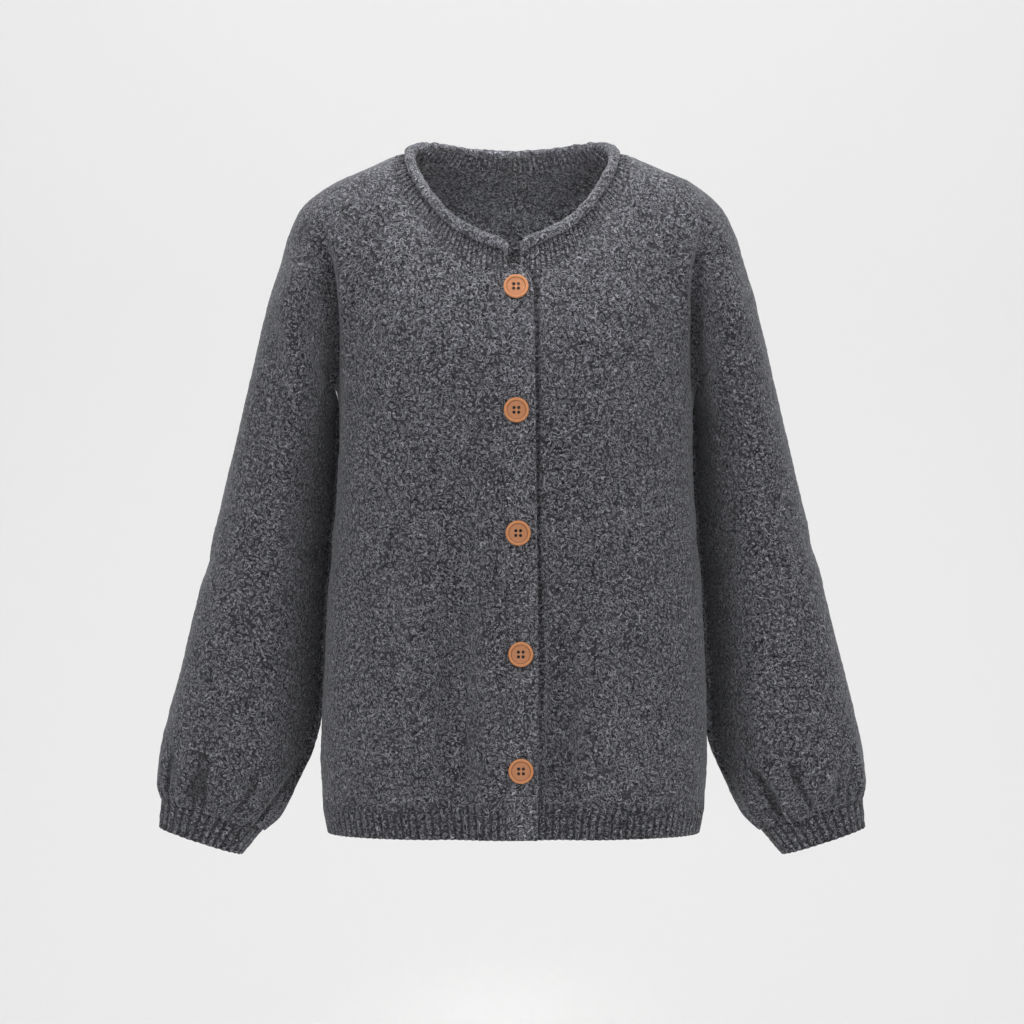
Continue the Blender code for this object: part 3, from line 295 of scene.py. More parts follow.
# Deep folds where each sleeve passes behind the body's side: place across and up, and how far
# back the sleeve lies there.
FOLDS = (
    ((-167, -56, 0), (-163, -74, 9), (-157.5, -94, 20), (-155, -118, 28), (-154, -160, 30),
     (-155, -196, 24), (-156, -230, 0)),
    ((167, -56, 0), (164, -74, 8), (159.5, -98, 18), (158.5, -125, 25), (158.5, -160, 27),
     (159.5, -194, 20), (160.5, -222, 0)),
)
FOLD_FRONT, FOLD_REACH = 4.0, 46.0  # width of the step down and of the way back up
FOLD_LIP, FOLD_LIP_WIDTH = 0.10, 6.0  # the body's edge stands out by this share of the depth
CREVICE, CREVICE_REACH = 36.0, 50.0  # how far back the sleeve lies beside the body, and its width
CREVICE_EDGE = 3.0  # from the torso to the start of that
CREVICE_TOP, CREVICE_FOOT = -190.0, -625.0

# Soft lights: name, place, what it is aimed at, size in metres, power in watts and the angle
# that its grid lets through in degrees.
LIGHTS = (
    ("front_softbox_1", (-2.0, -2.4, 1.9), (0.0, 0.0, -0.25), 1.4, 40.0, 180),
    ("front_softbox_2", (2.0, -2.4, 1.9), (0.0, 0.0, -0.25), 1.4, 41.0, 180),
    ("front_fill", (0.2, -3.3, -0.7), (0.0, 0.0, -0.1), 1.4, 13.0, 180),
    ("left_softbox", (-3.4, -2.4, 0.9), (0.0, 0.0, -0.3), 1.6, 11.0, 180),
    ("right_softbox", (3.4, -2.4, 0.9), (0.0, 0.0, -0.3), 1.6, 12.0, 180),
    ("top_softbox", (0.0, 0.2, 2.6), (0.0, 0.0, -0.3), 1.8, 46.0, 180),
    ("neck_light", (0.0, -2.6, 1.0), (0.0, 0.06, -0.03), 0.25, 0.23, 6),
    ("backdrop_softbox", (0.0, 1.6, 3.4), (0.0, 5.0, -0.4), 3.0, 76.0, 180),
)
FLOOR_SIZE, BACKDROP, COVE = (16, 12), 7, 1.6  # floor, backdrop's height and cove, in metres


# ---------------------------------------------------------------- numbers


def smooth_curve(points, column=1):
    """A smooth function through the points of a table, without overshoot."""
    rows = sorted(points)
    x = np.array([row[0] for row in rows], float)
    y = np.array([row[column] for row in rows], float)
    step = np.diff(x)
    slope = np.diff(y) / step
    tangent = np.concatenate([slope[:1], (slope[1:] + slope[:-1]) / 2, slope[-1:]])
    turning = slope[1:] * slope[:-1] <= 0
    tangent[1:-1][turning] = 0
    limit = 3 * np.minimum(np.abs(slope[1:]), np.abs(slope[:-1]))
    tangent[1:-1] = np.clip(tangent[1:-1], -limit, limit)

    def value(at):
        at = np.clip(np.asarray(at, float), x[0], x[-1])
        i = np.clip(np.searchsorted(x, at) - 1, 0, len(step) - 1)
        t = (at - x[i]) / step[i]
        rise = (1 - t) ** 2 * (t * step[i] * tangent[i] + (1 + 2 * t) * y[i])
        return rise + t**2 * ((t - 1) * step[i] * tangent[i + 1] + (3 - 2 * t) * y[i + 1])

    return value


def smoothstep(t):
    """0 below 0 and 1 above 1, with a smooth rise between them."""
    t = np.clip(t, 0.0, 1.0)
    return t * t * (3 - 2 * t)


def resampled(path, fractions):
    """Points at these fractions of a path's length."""
    length = np.concatenate([[0], np.cumsum(np.linalg.norm(np.diff(path, axis=0), axis=1))])
    return np.stack([np.interp(np.asarray(fractions) * length[-1], length, path[:, k])
                     for k in range(path.shape[1])], axis=1)


SECTION = {name: smooth_curve(SECTIONS, k) for k, name in enumerate(SECTION_COLUMNS) if k}
HOLLOW = [{name: smooth_curve(rows, k) for k, name in enumerate(HOLLOW_COLUMNS) if k}
          for rows in HOLLOWS]
OUTSIDE = smooth_curve(SLEEVE_OUTSIDE)
INSIDE = smooth_curve(SLEEVE_INSIDE)
DEPTH = smooth_curve(SLEEVE_DEPTH)


def band_edges(z):
    """x of the two long edges of the front bands: the seam of the over band, and its free edge."""
    down = np.clip((-120.0 - np.asarray(z, float)) / 330.0, 0, 1)
    return -8.8 + 4.2 * down, 18.8 + 3.8 * down


# ---------------------------------------------------------------- middle surface of the body


def superellipse(dx, dy, a, b, power):
    """Distance, to first order, from a superellipse with half axes a and b."""
    u, v = np.abs(dx) / a + 1e-9, np.abs(dy) / b + 1e-9
    r = (u**power + v**power) ** (1 / power)
    return (r - 1) / np.hypot((u / r) ** (power - 1) / a, (v / r) ** (power - 1) / b)


def arm_edge(side, z):
    """x of the arm's inner edge."""
    return SECTION["width"](z) + side * SECTION["shift"](z) + SECTION["gap"](z)


def outside(side, x, y, z):
    """Distance to the garment's middle surface, positive outside. side is -1 for the wearer's
    right, and x is measured outward on that side."""
    depth = np.where(y < 0, SECTION["front"](z), SECTION["back"](z))
    torso = superellipse(x - side * SECTION["shift"](z), y, SECTION["width"](z), depth, TORSO_POWER)
    inner, reach = arm_edge(side, z), SECTION["reach"](z)
    half = (reach - inner) / 2
    arm = superellipse(x - (reach + inner) / 2, y, half, SECTION["thick"](z), ARM_POWER)
    fold = np.maximum(BLEND - np.abs(torso - arm), 0) / BLEND
    return np.minimum(torso, arm) - fold**2 * BLEND / 4


def gradient(side, points, step=0.05):
    """Direction in which the distance to the surface grows, for each point."""
    x, y, z = points.T
    parts = [outside(side, x + step, y, z) - outside(side, x - step, y, z),
             outside(side, x, y + step, z) - outside(side, x, y - step, z),
             outside(side, x, y, z + step) - outside(side, x, y, z - step)]
    return np.stack(parts, axis=1) / (2 * step)


def onto_surface(side, points, fixed=()):
    """Points moved onto the surface, along its gradient or in the axes that aren't fixed."""
    points = np.array(points, float)
    for _ in range(18):
        slope = gradient(side, points)
        slope[:, list(fixed)] = 0
        size = np.maximum((slope**2).sum(axis=1), 0.04)
        move = outside(side, *points.T) / size
        points -= slope * np.clip(move, -4, 4)[:, None]
    return points


class Half:
    """Level lines of one quarter of the torso, from the centre front or back to the side."""

    STEP = 1.0

    def __init__(self, side, face):
        self.side, self.face = side, face
        self.z = np.concatenate([np.arange(Z_HEM - 8, -235, 8.0), np.arange(-235, Z_UNDERARM, 1.0)])
        count = 320
        line = np.zeros((count, len(self.z), 2))
        depth = SECTION["front" if face < 0 else "back"](self.z)
        x, y = np.zeros(len(self.z)), face * depth
        length = np.full(len(self.z), np.nan)
        for _ in range(8):
            y = y - face * outside(side, x, y, self.z)
        for k in range(count):
            ended = ~np.isnan(length)
            line[k] = np.stack([x, y], axis=1)
            slope = gradient(side, np.stack([x, y, self.z], axis=1))[:, :2]
            slope /= np.linalg.norm(slope, axis=1)[:, None]
            along = np.stack([-face * -slope[:, 1], -face * slope[:, 0]], axis=1)
            new_x, new_y = x + self.STEP * along[:, 0], y + self.STEP * along[:, 1]
            for _ in range(2):
                miss = outside(side, new_x, new_y, self.z)
                slope = gradient(side, np.stack([new_x, new_y, self.z], axis=1))[:, :2]
                size = np.maximum((slope**2).sum(axis=1), 0.2)
                new_x, new_y = new_x - miss * slope[:, 0] / size, new_y - miss * slope[:, 1] / size
            over = ~ended & (new_y * face <= 0)
            part = np.where(over, y / np.where(over, y - new_y, 1), 1)
            length[over] = (k + part[over]) * self.STEP
            new_x = np.where(over, x + part * (new_x - x), new_x)
            new_y = np.where(over, 0, new_y)
            x, y = np.where(ended, x, new_x), np.where(ended, y, new_y)
        self.line = line
        self.length = np.where(np.isnan(length), count * self.STEP, length)

    def at(self, s, z):
        """Point at arc length s of the level line at z."""
        s, z = np.broadcast_arrays(np.asarray(s, float), np.asarray(z, float))
        k = np.clip(np.searchsorted(self.z, z) - 1, 0, len(self.z) - 2)
        t = np.clip((z - self.z[k]) / (self.z[k + 1] - self.z[k]), 0, 1)
        i = np.clip((s / self.STEP).astype(int), 0, len(self.line) - 2)
        f = np.clip(s / self.STEP - i, 0, 1)
        low = self.line[i, k] * (1 - f)[..., None] + self.line[i + 1, k] * f[..., None]
        high = self.line[i, k + 1] * (1 - f)[..., None] + self.line[i + 1, k + 1] * f[..., None]
        flat = low * (1 - t)[..., None] + high * t[..., None]
        return np.concatenate([flat, z[..., None]], axis=-1)

    def full(self, z):
        """Length of the whole level line at z."""
        return np.interp(z, self.z, self.length)

    def arc_of_x(self, x, z):
        """Arc length at which the level line at z has come out to x."""
        s = np.arange(0, len(self.line), 0.5)
        found = self.at(s, np.full(len(s), z))[:, 0]
        return float(s[np.argmax(found >= x)]) if (found >= x).any() else float(self.full(z))


def underarm(side):
    """The armhole's lowest point."""
    return np.array([arm_edge(side, Z_UNDERARM) - SECTION["gap"](Z_UNDERARM) / 2, 0.0, Z_UNDERARM])


def sleeve_top(side):
    """The armhole's highest point, where the shoulder seam ends."""
    return np.array([float(SECTION["reach"](Z_SLEEVE_TOP)), 0.0, Z_SLEEVE_TOP])


def armhole(side, face, count):
    """The armhole seam's front or back half, from the underarm up to the shoulder seam."""
    low, high = underarm(side), sleeve_top(side)
    middle, axis = (low + high) / 2, (low - high) / 2
    angles = np.linspace(0, math.pi, 181)
    near, far = np.full(len(angles), 0.3), 1.02 + 0.4 * np.sin(angles)
    across = np.array([0.0, face * 60.0, 0.0])
    ray = np.cos(angles)[:, None] * axis + np.sin(angles)[:, None] * across
    for _ in range(40):
        radius = (near + far) / 2
        beyond = outside(side, *(middle + radius[:, None] * ray).T) > 0
        near, far = np.where(beyond, near, radius), np.where(beyond, radius, far)
    radius[0] = radius[-1] = 1.0
    return resampled(middle + radius[:, None] * ray, np.linspace(0, 1, count + 1))


# ---------------------------------------------------------------- panels


def neckline(side, face):
    """The neckline's half on the surface, from the centre to the shoulder point, densely."""
    table = NECK_FRONT if face < 0 else NECK_BACK[::-1]
    t = np.linspace(0, 1, len(table))
    fine = np.linspace(0, 1, 161)
    x = smooth_curve(list(zip(t, [row[0] for row in table])))(fine)
    z = smooth_curve(list(zip(t, [row[1] for row in table])))(fine)
    near, far = np.zeros(len(x)), np.full(len(x), 130.0)
    for _ in range(40):
        depth = (near + far) / 2
        beyond = outside(side, x, face * depth, z) > 0
        near, far = np.where(beyond, near, depth), np.where(beyond, depth, far)
    path = np.stack([x, face * depth, z], axis=1)
    path[-1] = (SECTION["reach"](Z_SHOULDER), 0.0, Z_SHOULDER)
    return path


def shoulder_points(side):
    """Points of the shoulder seam from the neck out to the sleeve."""
    z = np.concatenate([np.linspace(Z_SHOULDER, -40, 60), np.linspace(-41, Z_SLEEVE_TOP, 60)])
    path = np.stack([SECTION["reach"](z), 0 * z, z], axis=1)
    return resampled(path, np.linspace(0, 1, SHOULDER_COLUMNS + 1))


def panel_half(side, face, first_x, neck_columns):
    """Grid of one panel from the hem rib up, and from the line first_x(z) to the side seam."""
    half = Half(side, face)
    neck = neckline(side, face)
    start = np.argmax(neck[:, 0] >= first_x(Z_NECK_FRONT))
    neck = resampled(neck[start:], np.linspace(0, 1, neck_columns + 1))
    neck[0, 0] = first_x(Z_NECK_FRONT)
    top = np.concatenate([neck, shoulder_points(side)[1:]])
    share = np.linspace(0, 1, len(top))
    rows = []
    for z in ROWS_LOW:
        level = min(z, Z_UNDERARM - 1.0)
        first = half.arc_of_x(first_x(level), level)
        s = first + share * (float(half.full(level)) - first)
        row = half.at(s, np.full(len(s), level))
        row[:, 2], row[-1, 1] = z, 0.0
        rows.append(row)
    rows[-1][-1] = underarm(side)
    # Above the underarm the grid is spanned by its four edges, then laid on the surface.
    z = np.linspace(Z_UNDERARM, top[0, 2], ROWS_HIGH + 1)
    edge = np.stack([[first_x(level) for level in z], 0 * z + face * 90.0, z], axis=1)
    edge = onto_surface(side, edge, fixed=(0, 2))
    edge[0], edge[-1] = rows[-1][0], top[0]
    ring = armhole(side, face, ROWS_HIGH)
    u, v = share[None, :, None], np.linspace(0, 1, ROWS_HIGH + 1)[:, None, None]
    low, high = rows[-1][None], top[None]
    left, right = edge[:, None], ring[:, None]
    grid = (1 - v) * low + v * high
    grid += (1 - u) * (left - (1 - v) * low[:, :1] - v * high[:, :1])
    grid += u * (right - (1 - v) * low[:, -1:] - v * high[:, -1:])
    for _ in range(12):
        inner = grid[1:-1, 1:-1]
        round_it = grid[:-2, 1:-1] + grid[2:, 1:-1] + grid[1:-1, :-2] + grid[1:-1, 2:]
        inner = (inner + round_it / 4) / 2
        grid[1:-1, 1:-1] = onto_surface(side, inner.reshape(-1, 3)).reshape(inner.shape)
    grid = np.concatenate([np.array(rows), grid[1:]])
    grid[..., 0] *= side
    return grid


def front_shape(points, side=None):
    """Moves points of the front by the soft hollows and, on one front, by the overlap's step."""
    points = np.array(points, float)
    x, y, z = points[..., 0], points[..., 1], points[..., 2]
    ahead = smoothstep((-y - 25) / 45)
    for rows, hollow in zip(HOLLOWS, HOLLOW):
        bell = np.exp(-(((x - hollow["x"](z)) / hollow["width"](z)) ** 2))
        top = smoothstep((rows[0][0] - z) / 60)
        y = y + hollow["depth"](z) * bell * ahead * top
    if side is not None:
        edge = band_edges(z)[0 if side < 0 else 1]
        y = y + side * OVERLAP_STEP * (1 - smoothstep(np.abs(x - edge) / OVERLAP_REACH)) * ahead
    points[..., 1] = y
    return points


def inset(grid, amounts):
    """Draws the grid's seam edges back into the cloth, at right angles to each seam, by the
    amount given for the edge or for each of its points."""
    grid = np.array(grid, float)
    source = grid.copy()
    for edge, amount in amounts.items():
        turned = edge in ("left", "right")
        rows = source.transpose(1, 0, 2) if turned else source
        line, inward = (rows[0], rows[1]) if edge in ("bottom", "left") else (rows[-1], rows[-2])
        along = np.gradient(line, axis=0)
        along /= np.maximum(np.linalg.norm(along, axis=1), 1e-9)[:, None]
        into = inward - line
        into -= (into * along).sum(axis=1)[:, None] * along
        into /= np.maximum(np.linalg.norm(into, axis=1), 1e-9)[:, None]
        target = grid.transpose(1, 0, 2) if turned else grid
        target[0 if edge in ("bottom", "left") else -1] += into * np.reshape(amount, (-1, 1))
    return grid


def side_amounts():
    """Seam amounts up the side seam and the armhole, larger where the fold is tight."""
    below = np.full(len(ROWS_LOW) - 1, SEAM / 2)
    return np.concatenate([below, armhole_amounts()])


def armhole_amounts():
    """Seam amounts of one half of the armhole, from the underarm up."""
    up = np.linspace(0, 1, ROWS_HIGH + 1)
    return 0.55 * SEAM + UNDERARM_EXTRA * (1 - smoothstep(up / 0.4))


def level_line(side, face, z, first_x):
    """Dense points of the body's level line at z, from first_x to the side seam."""
    angles = np.linspace(0, math.pi / 2, 240)
    width, shift = float(SECTION["width"](z)), float(SECTION["shift"](z))
    depth = float(SECTION["front" if face < 0 else "back"](z))
    x = side * shift + width * np.sin(angles) ** (2 / TORSO_POWER)
    y = face * depth * np.cos(angles) ** (2 / TORSO_POWER)
    points = np.stack([x, y, np.full(len(x), z)], axis=1)
    if side * shift > 0 and first_x < x[0]:
        points = np.concatenate([[[first_x, y[0], z]], points])
    points = points[np.argmax(points[:, 0] >= first_x - 1e-6):]
    points = onto_surface(side, points, fixed=(2,))
    points[0, 0], points[-1, 1] = first_x, 0.0
    points[:, 0] *= side
    return points


def torso_edge(side, y, z):
    """How far out the torso's side is at this depth and height."""
    depth = np.where(np.asarray(y) < 0, SECTION["front"](z), SECTION["back"](z))
    share = np.clip(1 - (np.abs(y) / depth) ** TORSO_POWER, 0, 1) ** (1 / TORSO_POWER)
    return SECTION["width"](z) * share + side * SECTION["shift"](z)


# ---------------------------------------------------------------- fine cloth


def marks_of(grid, closed=False):
    """Running distance from row to row of a grid, averaged over its columns."""
    if closed:
        grid = np.concatenate([grid, grid[:1]])
    steps = np.linalg.norm(np.diff(grid, axis=0), axis=2).mean(axis=1)
    return np.concatenate([[0], np.cumsum(steps)])


def through_rows(grid, marks, at, corner=None, closed=False):
    """Rows of a smooth surface through a grid's rows, read at these marks. corner is a row, and
    the end columns that turn sharply there."""
    if closed:
        total = marks[-1]
        grid = np.concatenate([grid[-2:], grid, grid[:2]])
        marks = np.concatenate([marks[-3:-1] - total, marks[:-1], marks[:2] + total])
    step = np.diff(marks)[:, None, None]
    slope = np.diff(grid, axis=0) / step
    leave = np.empty_like(grid)
    leave[1:-1] = (slope[:-1] * step[1:] + slope[1:] * step[:-1]) / (step[1:] + step[:-1])
    leave[0] = 1.5 * slope[0] - 0.5 * leave[1]
    leave[-1] = 1.5 * slope[-1] - 0.5 * leave[-2]
    arrive = leave.copy()
    if corner is not None:
        row, ends = corner
        for end in ends:
            leave[row, end], arrive[row, end] = slope[row, end], slope[row - 1, end]
    k = np.clip(np.searchsorted(marks, at, side="right") - 1, 0, len(step) - 1)
    t = ((at - marks[k]) / step[k, 0, 0])[:, None, None]
    h = step[k]
    return ((1 + 2 * t) * (1 - t) ** 2 * grid[k] + t * (1 - t) ** 2 * h * leave[k]
            + t**2 * (3 - 2 * t) * grid[k + 1] + t**2 * (t - 1) * h * arrive[k + 1])


def refined(grid, spacing, closed=False, corner=None, columns=None):
    """The grid's surface at an even spacing, with counts that the inner wall can share."""
    down = marks_of(grid)
    rows = INNER_STEP * max(1, round(down[-1] / spacing / INNER_STEP))
    grid = through_rows(grid, down, np.linspace(0, down[-1], rows + 1), corner)
    across = marks_of(grid.transpose(1, 0, 2), closed)
    count = columns or INNER_STEP * max(1, round(across[-1] / spacing / INNER_STEP))
    at = np.linspace(0, across[-1], count + 1)[:count if closed else None]
    return through_rows(grid.transpose(1, 0, 2), across, at, closed=closed).transpose(1, 0, 2)


def grid_normals(grid, outward, closed=False):
    """Unit normals of a grid's points, on the side where outward(points) is positive."""
    if closed:
        ring = np.concatenate([grid[:, -1:], grid, grid[:, :1]], axis=1)
        across = (ring[:, 2:] - ring[:, :-2]) / 2
    else:
        across = np.gradient(grid, axis=1)
    normal = np.cross(across, np.gradient(grid, axis=0))
    normal /= np.maximum(np.linalg.norm(normal, axis=2), 1e-12)[..., None]
    facing = (normal * outward(grid)).sum(axis=2)
    return normal * np.sign(np.median(facing))


def lumps(points, size, seed):
    """A smooth random field with swellings of about this size, from -1 to 1."""
    place_in = points / size + 517.3 + 91.7 * seed
    cell = np.floor(place_in).astype(np.int64)
    part = place_in - cell
    part = part * part * (3 - 2 * part)
    total = np.zeros(points.shape[:-1])
    for corner in range(8):
        offset = np.array([corner & 1, corner >> 1 & 1, corner >> 2 & 1])
        key = ((cell + offset) * (73856093, 19349663, 83492791)).sum(axis=-1) + 2654435 * seed
        key = (key ^ (key >> 13)) * 1274126177 & 0xFFFFFFFF
        key = (key ^ (key >> 15)) * 2246822519 & 0xFFFFFFFF
        weight = np.prod(np.where(offset == 1, part, 1 - part), axis=-1)
        total += weight * (key / 2147483648.0 - 1)
    return total


def uneven(points, layers):
    """Layers of lumps, each with its size, height and seed, added up."""
    return sum(lumps(points, size, seed) * height for size, height, seed in layers)


def from_upright(points):
    """Outward direction for the body, away from its upright middle line."""
    return points * (1, 1, 0)


# ---------------------------------------------------------------- creases


def crease_depth(points, normals, creases):
    """How far the creases draw each point inward, summed."""
    drawn = np.zeros(points.shape[:-1])
    for view, path in creases:
        path = np.array(path, float)
        marks = np.concatenate([[0], np.cumsum(np.hypot(*np.diff(path[:, :2], axis=0).T))])
        at = np.linspace(0, marks[-1], 10 * len(path))
        across, up, depth, width = (smooth_curve(list(zip(marks, path[:, k])))(at)
                                    for k in range(4))
        plane = points[..., 0] if view in ("front", "back") else points[..., 1]
        shows = {"front": -normals[..., 1], "back": normals[..., 1],
                 "right": -normals[..., 0], "left": normals[..., 0]}[view]
        reach = 3 * width.max()
        near = ((shows > 0.05) & (plane > across.min() - reach) & (plane < across.max() + reach)
                & (points[..., 2] > up.min() - reach) & (points[..., 2] < up.max() + reach))
        if not near.any():
            continue
        gap = np.hypot(plane[near][:, None] - across, points[near][:, 2][:, None] - up)
        nearest = gap.argmin(axis=1)
        ratio = gap[np.arange(len(gap)), nearest] / width[nearest]
        bell = np.exp(-(ratio**2)) - CREASE_LIP * np.exp(-((ratio - 2.1) ** 2) / 0.7)
        drawn[near] += depth[nearest] * bell * smoothstep(shows[near] / 0.45)
    return drawn


# ---------------------------------------------------------------- closed walls


def fold_drop(points, early=0.0):
    """How far back the folds set each point of the front beyond them."""
    drop = np.zeros(points.shape[:-1])
    for path in FOLDS:
        down = path[::-1]
        z = np.clip(points[..., 2], down[0][1], down[-1][1])
        edge = smooth_curve([(row[1], row[0]) for row in down])(z)
        depth = smooth_curve([(row[1], row[2]) for row in down])(z)
        beyond = (points[..., 0] - edge) * np.sign(path[0][0]) + early
        step = smoothstep(beyond / FOLD_FRONT) * (1 - smoothstep(beyond / FOLD_REACH))
        lip = np.exp(-(((beyond + FOLD_LIP_WIDTH) / FOLD_LIP_WIDTH) ** 2))
        drop += depth * (step - FOLD_LIP * lip)
    return drop * smoothstep((-points[..., 1] - 6) / 30)


def crevice_drop(points, side):
    """How far back the sleeve's front lies close beside the body."""
    x, y, z = side * points[..., 0], points[..., 1], points[..., 2]
    beyond = x - SECTION["width"](z) - side * SECTION["shift"](z) - CREVICE_EDGE
    along = smoothstep((CREVICE_TOP - z) / 50) * smoothstep((z - CREVICE_FOOT) / 80)
    return CREVICE * (1 - smoothstep(beyond / CREVICE_REACH)) * along * smoothstep((24 - y) / 40)


def border_of(rows, columns, step=1):
    """Grid places round the border of an open sheet, one after the other."""
    low = [(0, j) for j in range(0, columns - 1, step)]
    right = [(i, columns - 1) for i in range(0, rows - 1, step)]
    high = [(rows - 1, j) for j in range(columns - 1, 0, -step)]
    left = [(i, 0) for i in range(rows - 1, 0, -step)]
    return np.array(low + right + high + left)


def wall_mesh(name, outer, inner, closed=False, round_by=0.3):
    """A closed wall in metres from its outer grid and a plainer inner grid. The edges between
    them are rounded outward by a share of the wall's thickness."""
    rows, columns = outer.shape[:2]
    step = (rows - 1) // (inner.shape[0] - 1)
    faces = []
    i, j = np.meshgrid(np.arange(rows - 1), np.arange(columns if closed else columns - 1),
                       indexing="ij")
    k = (j + 1) % columns
    faces.append(np.stack([i * columns + j, i * columns + k, (i + 1) * columns + k,
                           (i + 1) * columns + j], axis=-1).reshape(-1, 4))
    first = rows * columns
    low_rows, low_columns = inner.shape[:2]
    i, j = np.meshgrid(np.arange(low_rows - 1),
                       np.arange(low_columns if closed else low_columns - 1), indexing="ij")
    k = (j + 1) % low_columns
    faces.append(first + np.stack([i * low_columns + j, (i + 1) * low_columns + j,
                                   (i + 1) * low_columns + k, i * low_columns + k],
                                  axis=-1).reshape(-1, 4))
    points = [outer.reshape(-1, 3), inner.reshape(-1, 3)]
    used = first + low_rows * low_columns
    faces = np.concatenate(faces).tolist()
    if closed:
        loops = [(np.array([(row, j) for j in range(columns)]),
                  np.array([(row_in, j) for j in range(low_columns)]), 1 if row else -1)
                 for row, row_in in ((0, 0), (rows - 1, low_rows - 1))]
    else:
        loops = [(border_of(rows, columns), border_of(low_rows, low_columns), -1)]
    for fine, coarse, turn in loops:
        rim = outer[fine[:, 0], fine[:, 1]]
        back = inner[coarse[:, 0], coarse[:, 1]]
        share = np.arange(len(rim)) / step
        whole = np.floor(share).astype(int)
        part = (share - whole)[:, None]
        behind = back[whole] * (1 - part) + back[(whole + 1) % len(back)] * part
        within = np.clip(fine, 1, (rows - 2, columns - 2 if not closed else columns))
        within = outer[within[:, 0], within[:, 1] % columns]
        thick = rim - behind
        size = np.linalg.norm(thick, axis=1)[:, None]
        out = rim - within
        out -= (out * thick).sum(axis=1)[:, None] * thick / size**2
        out /= np.maximum(np.linalg.norm(out, axis=1), 1e-9)[:, None]
        last = fine[:, 0] * columns + fine[:, 1]
        for angle in np.radians((45.0, 90.0, 135.0)):
            arc = (rim + behind) / 2 + thick / 2 * math.cos(angle)
            points.append(arc + out * size * round_by * math.sin(angle))
            ring = used + np.arange(len(rim))
            used += len(rim)
            quads = np.stack([last, ring, np.roll(ring, -1), np.roll(last, -1)], axis=1)
            faces.extend(quads[:, ::turn].tolist())
            last = ring
        places = first + coarse[:, 0] * low_columns + coarse[:, 1]
        for k in range(len(back)):
            edge = [int(last[(k * step + m) % len(last)]) for m in range(step + 1)]
            face = edge + [int(places[(k + 1) % len(back)]), int(places[k])]
            faces.append(face if turn < 0 else face[::-1])
    mesh = bpy.data.meshes.new(name)
    mesh.from_pydata((np.concatenate(points) * MM).tolist(), [], faces)
    mesh.validate()
    shape = bmesh.new()
    shape.from_mesh(mesh)
    bmesh.ops.recalc_face_normals(shape, faces=shape.faces)
    shape.to_mesh(mesh)
    shape.free()
    mesh.shade_smooth()
    return mesh, first


def knit_piece(node, outer, inner, material, closed=False, ribs=None, round_by=0.3, inside=None):
    """Puts a knitted piece in the scene in place of its node. ribs and inside are the masks of
    the painted shade in the valleys on its outer and inner face."""
    name = "knit_" + node
    mesh, first = wall_mesh(name, outer, inner, closed, round_by)
    # This attribute carries painted shade: it darkens the yarn in the rib valleys and gathers.
    layer = mesh.attributes.new("painted_valley_shade", "FLOAT", "POINT")
    values = np.zeros(len(mesh.vertices), np.float32)
    if ribs is not None:
        values[:first] = ribs.reshape(-1)
    if inside is not None:
        values[first:first + inside.size] = inside.reshape(-1)
    layer.data.foreach_set("value", values)
    piece = bpy.data.objects.new(name, mesh)
    bpy.context.scene.collection.objects.link(piece)
    mesh.materials.append(material)
    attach(piece, "root")
    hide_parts(node)
    "rib" if material is rib_knit() else "knit"


# ---------------------------------------------------------------- shapes of the pieces


@functools.lru_cache
def panels():
    """The three body panels on the middle surface, coarse, as they meet at the seams."""
    made = {}
    for side, name in ((-1, "front_right"), (1, "front_left")):
        edge = max(side, 0)
        made[name] = panel_half(side, -1, lambda z: side * float(band_edges(z)[edge]),
                                NECK_COLUMNS_FRONT)
    left = panel_half(-1, 1, lambda z: 0.0, NECK_COLUMNS_BACK)
    right = panel_half(1, 1, lambda z: 0.0, NECK_COLUMNS_BACK)
    made["back"] = (left, right)
    return made


def drape(points, normals, seed):
    """How far a plain knitted point stands out: small lumps of the yarn, soft unevenness and
    the creases."""
    settings = bpy.context.scene.cardigan_knit
    small = lumps(points, settings.lump_size / MM, seed) * settings.lump_height / MM
    return small + uneven(points, SWELLINGS) - crease_depth(points, normals, CREASES)


def inner_wall(plain, outward, out, closed=False):
    """The plain inside of a wall, behind its deepest creases and folds."""
    normal = grid_normals(plain, outward, closed)
    inner = plain - normal * (WALL / 2 - np.clip(out, -8, 0.2))[..., None]
    inner = inner[::INNER_STEP, ::INNER_STEP]
    inner[..., 1] += np.maximum(fold_drop(inner, INNER_EARLY), fold_drop(inner))
    return inner


def panel_piece(node, grid):
    """One body panel: its wall with creases, and the first trace of the ribs at its foot."""
    hem = hem_lines("hem_" + node)
    ribs_in_width = rib_count(hem[-1], HEM_RIB)
    plain = grid.copy()
    grid[..., 1] += fold_drop(grid)
    normal = grid_normals(grid, from_upright)
    out = drape(grid, normal, 1)
    share = np.linspace(0, 1, grid.shape[1])
    rib = 0.5 - 0.5 * np.cos(2 * math.pi * share * ribs_in_width)
    near = 1 - smoothstep((grid[..., 2] - Z_HEM_TOP) / RIB_FADE)
    out = out * (1 - 0.7 * near) + near * 0.9 * (rib - 0.35)
    outer = grid + normal * (WALL / 2 + out)[..., None]
    # ribs paints shade into the rib valleys at the panel's foot.
    knit_piece(node, outer, inner_wall(plain, from_upright, out), plain_knit(),
               ribs=near * (1 - rib), round_by=SEAM_ROUND)


def rib_count(line, pitch):
    """How many ribs of this pitch fit along a line of points."""
    length = np.linalg.norm(np.diff(line, axis=0), axis=1).sum()
    return max(2, round(length / pitch))


def rib_relief(points, count, crest, closed, seed):
    """Height over the middle surface of each point of a ribbed band, and its valley mask for
    painted shade.
    """
    share = np.linspace(0, 1, points.shape[1], endpoint=not closed)
    wave = 0.5 - 0.5 * np.cos(2 * math.pi * share * count)
    valley = RIB_VALLEY - WALL / 2
    height = valley + (crest - valley) * wave ** 0.75 + lumps(points, RIB_LUMP, seed) * 0.32
    return height, np.tile(1 - wave, (points.shape[0], 1))


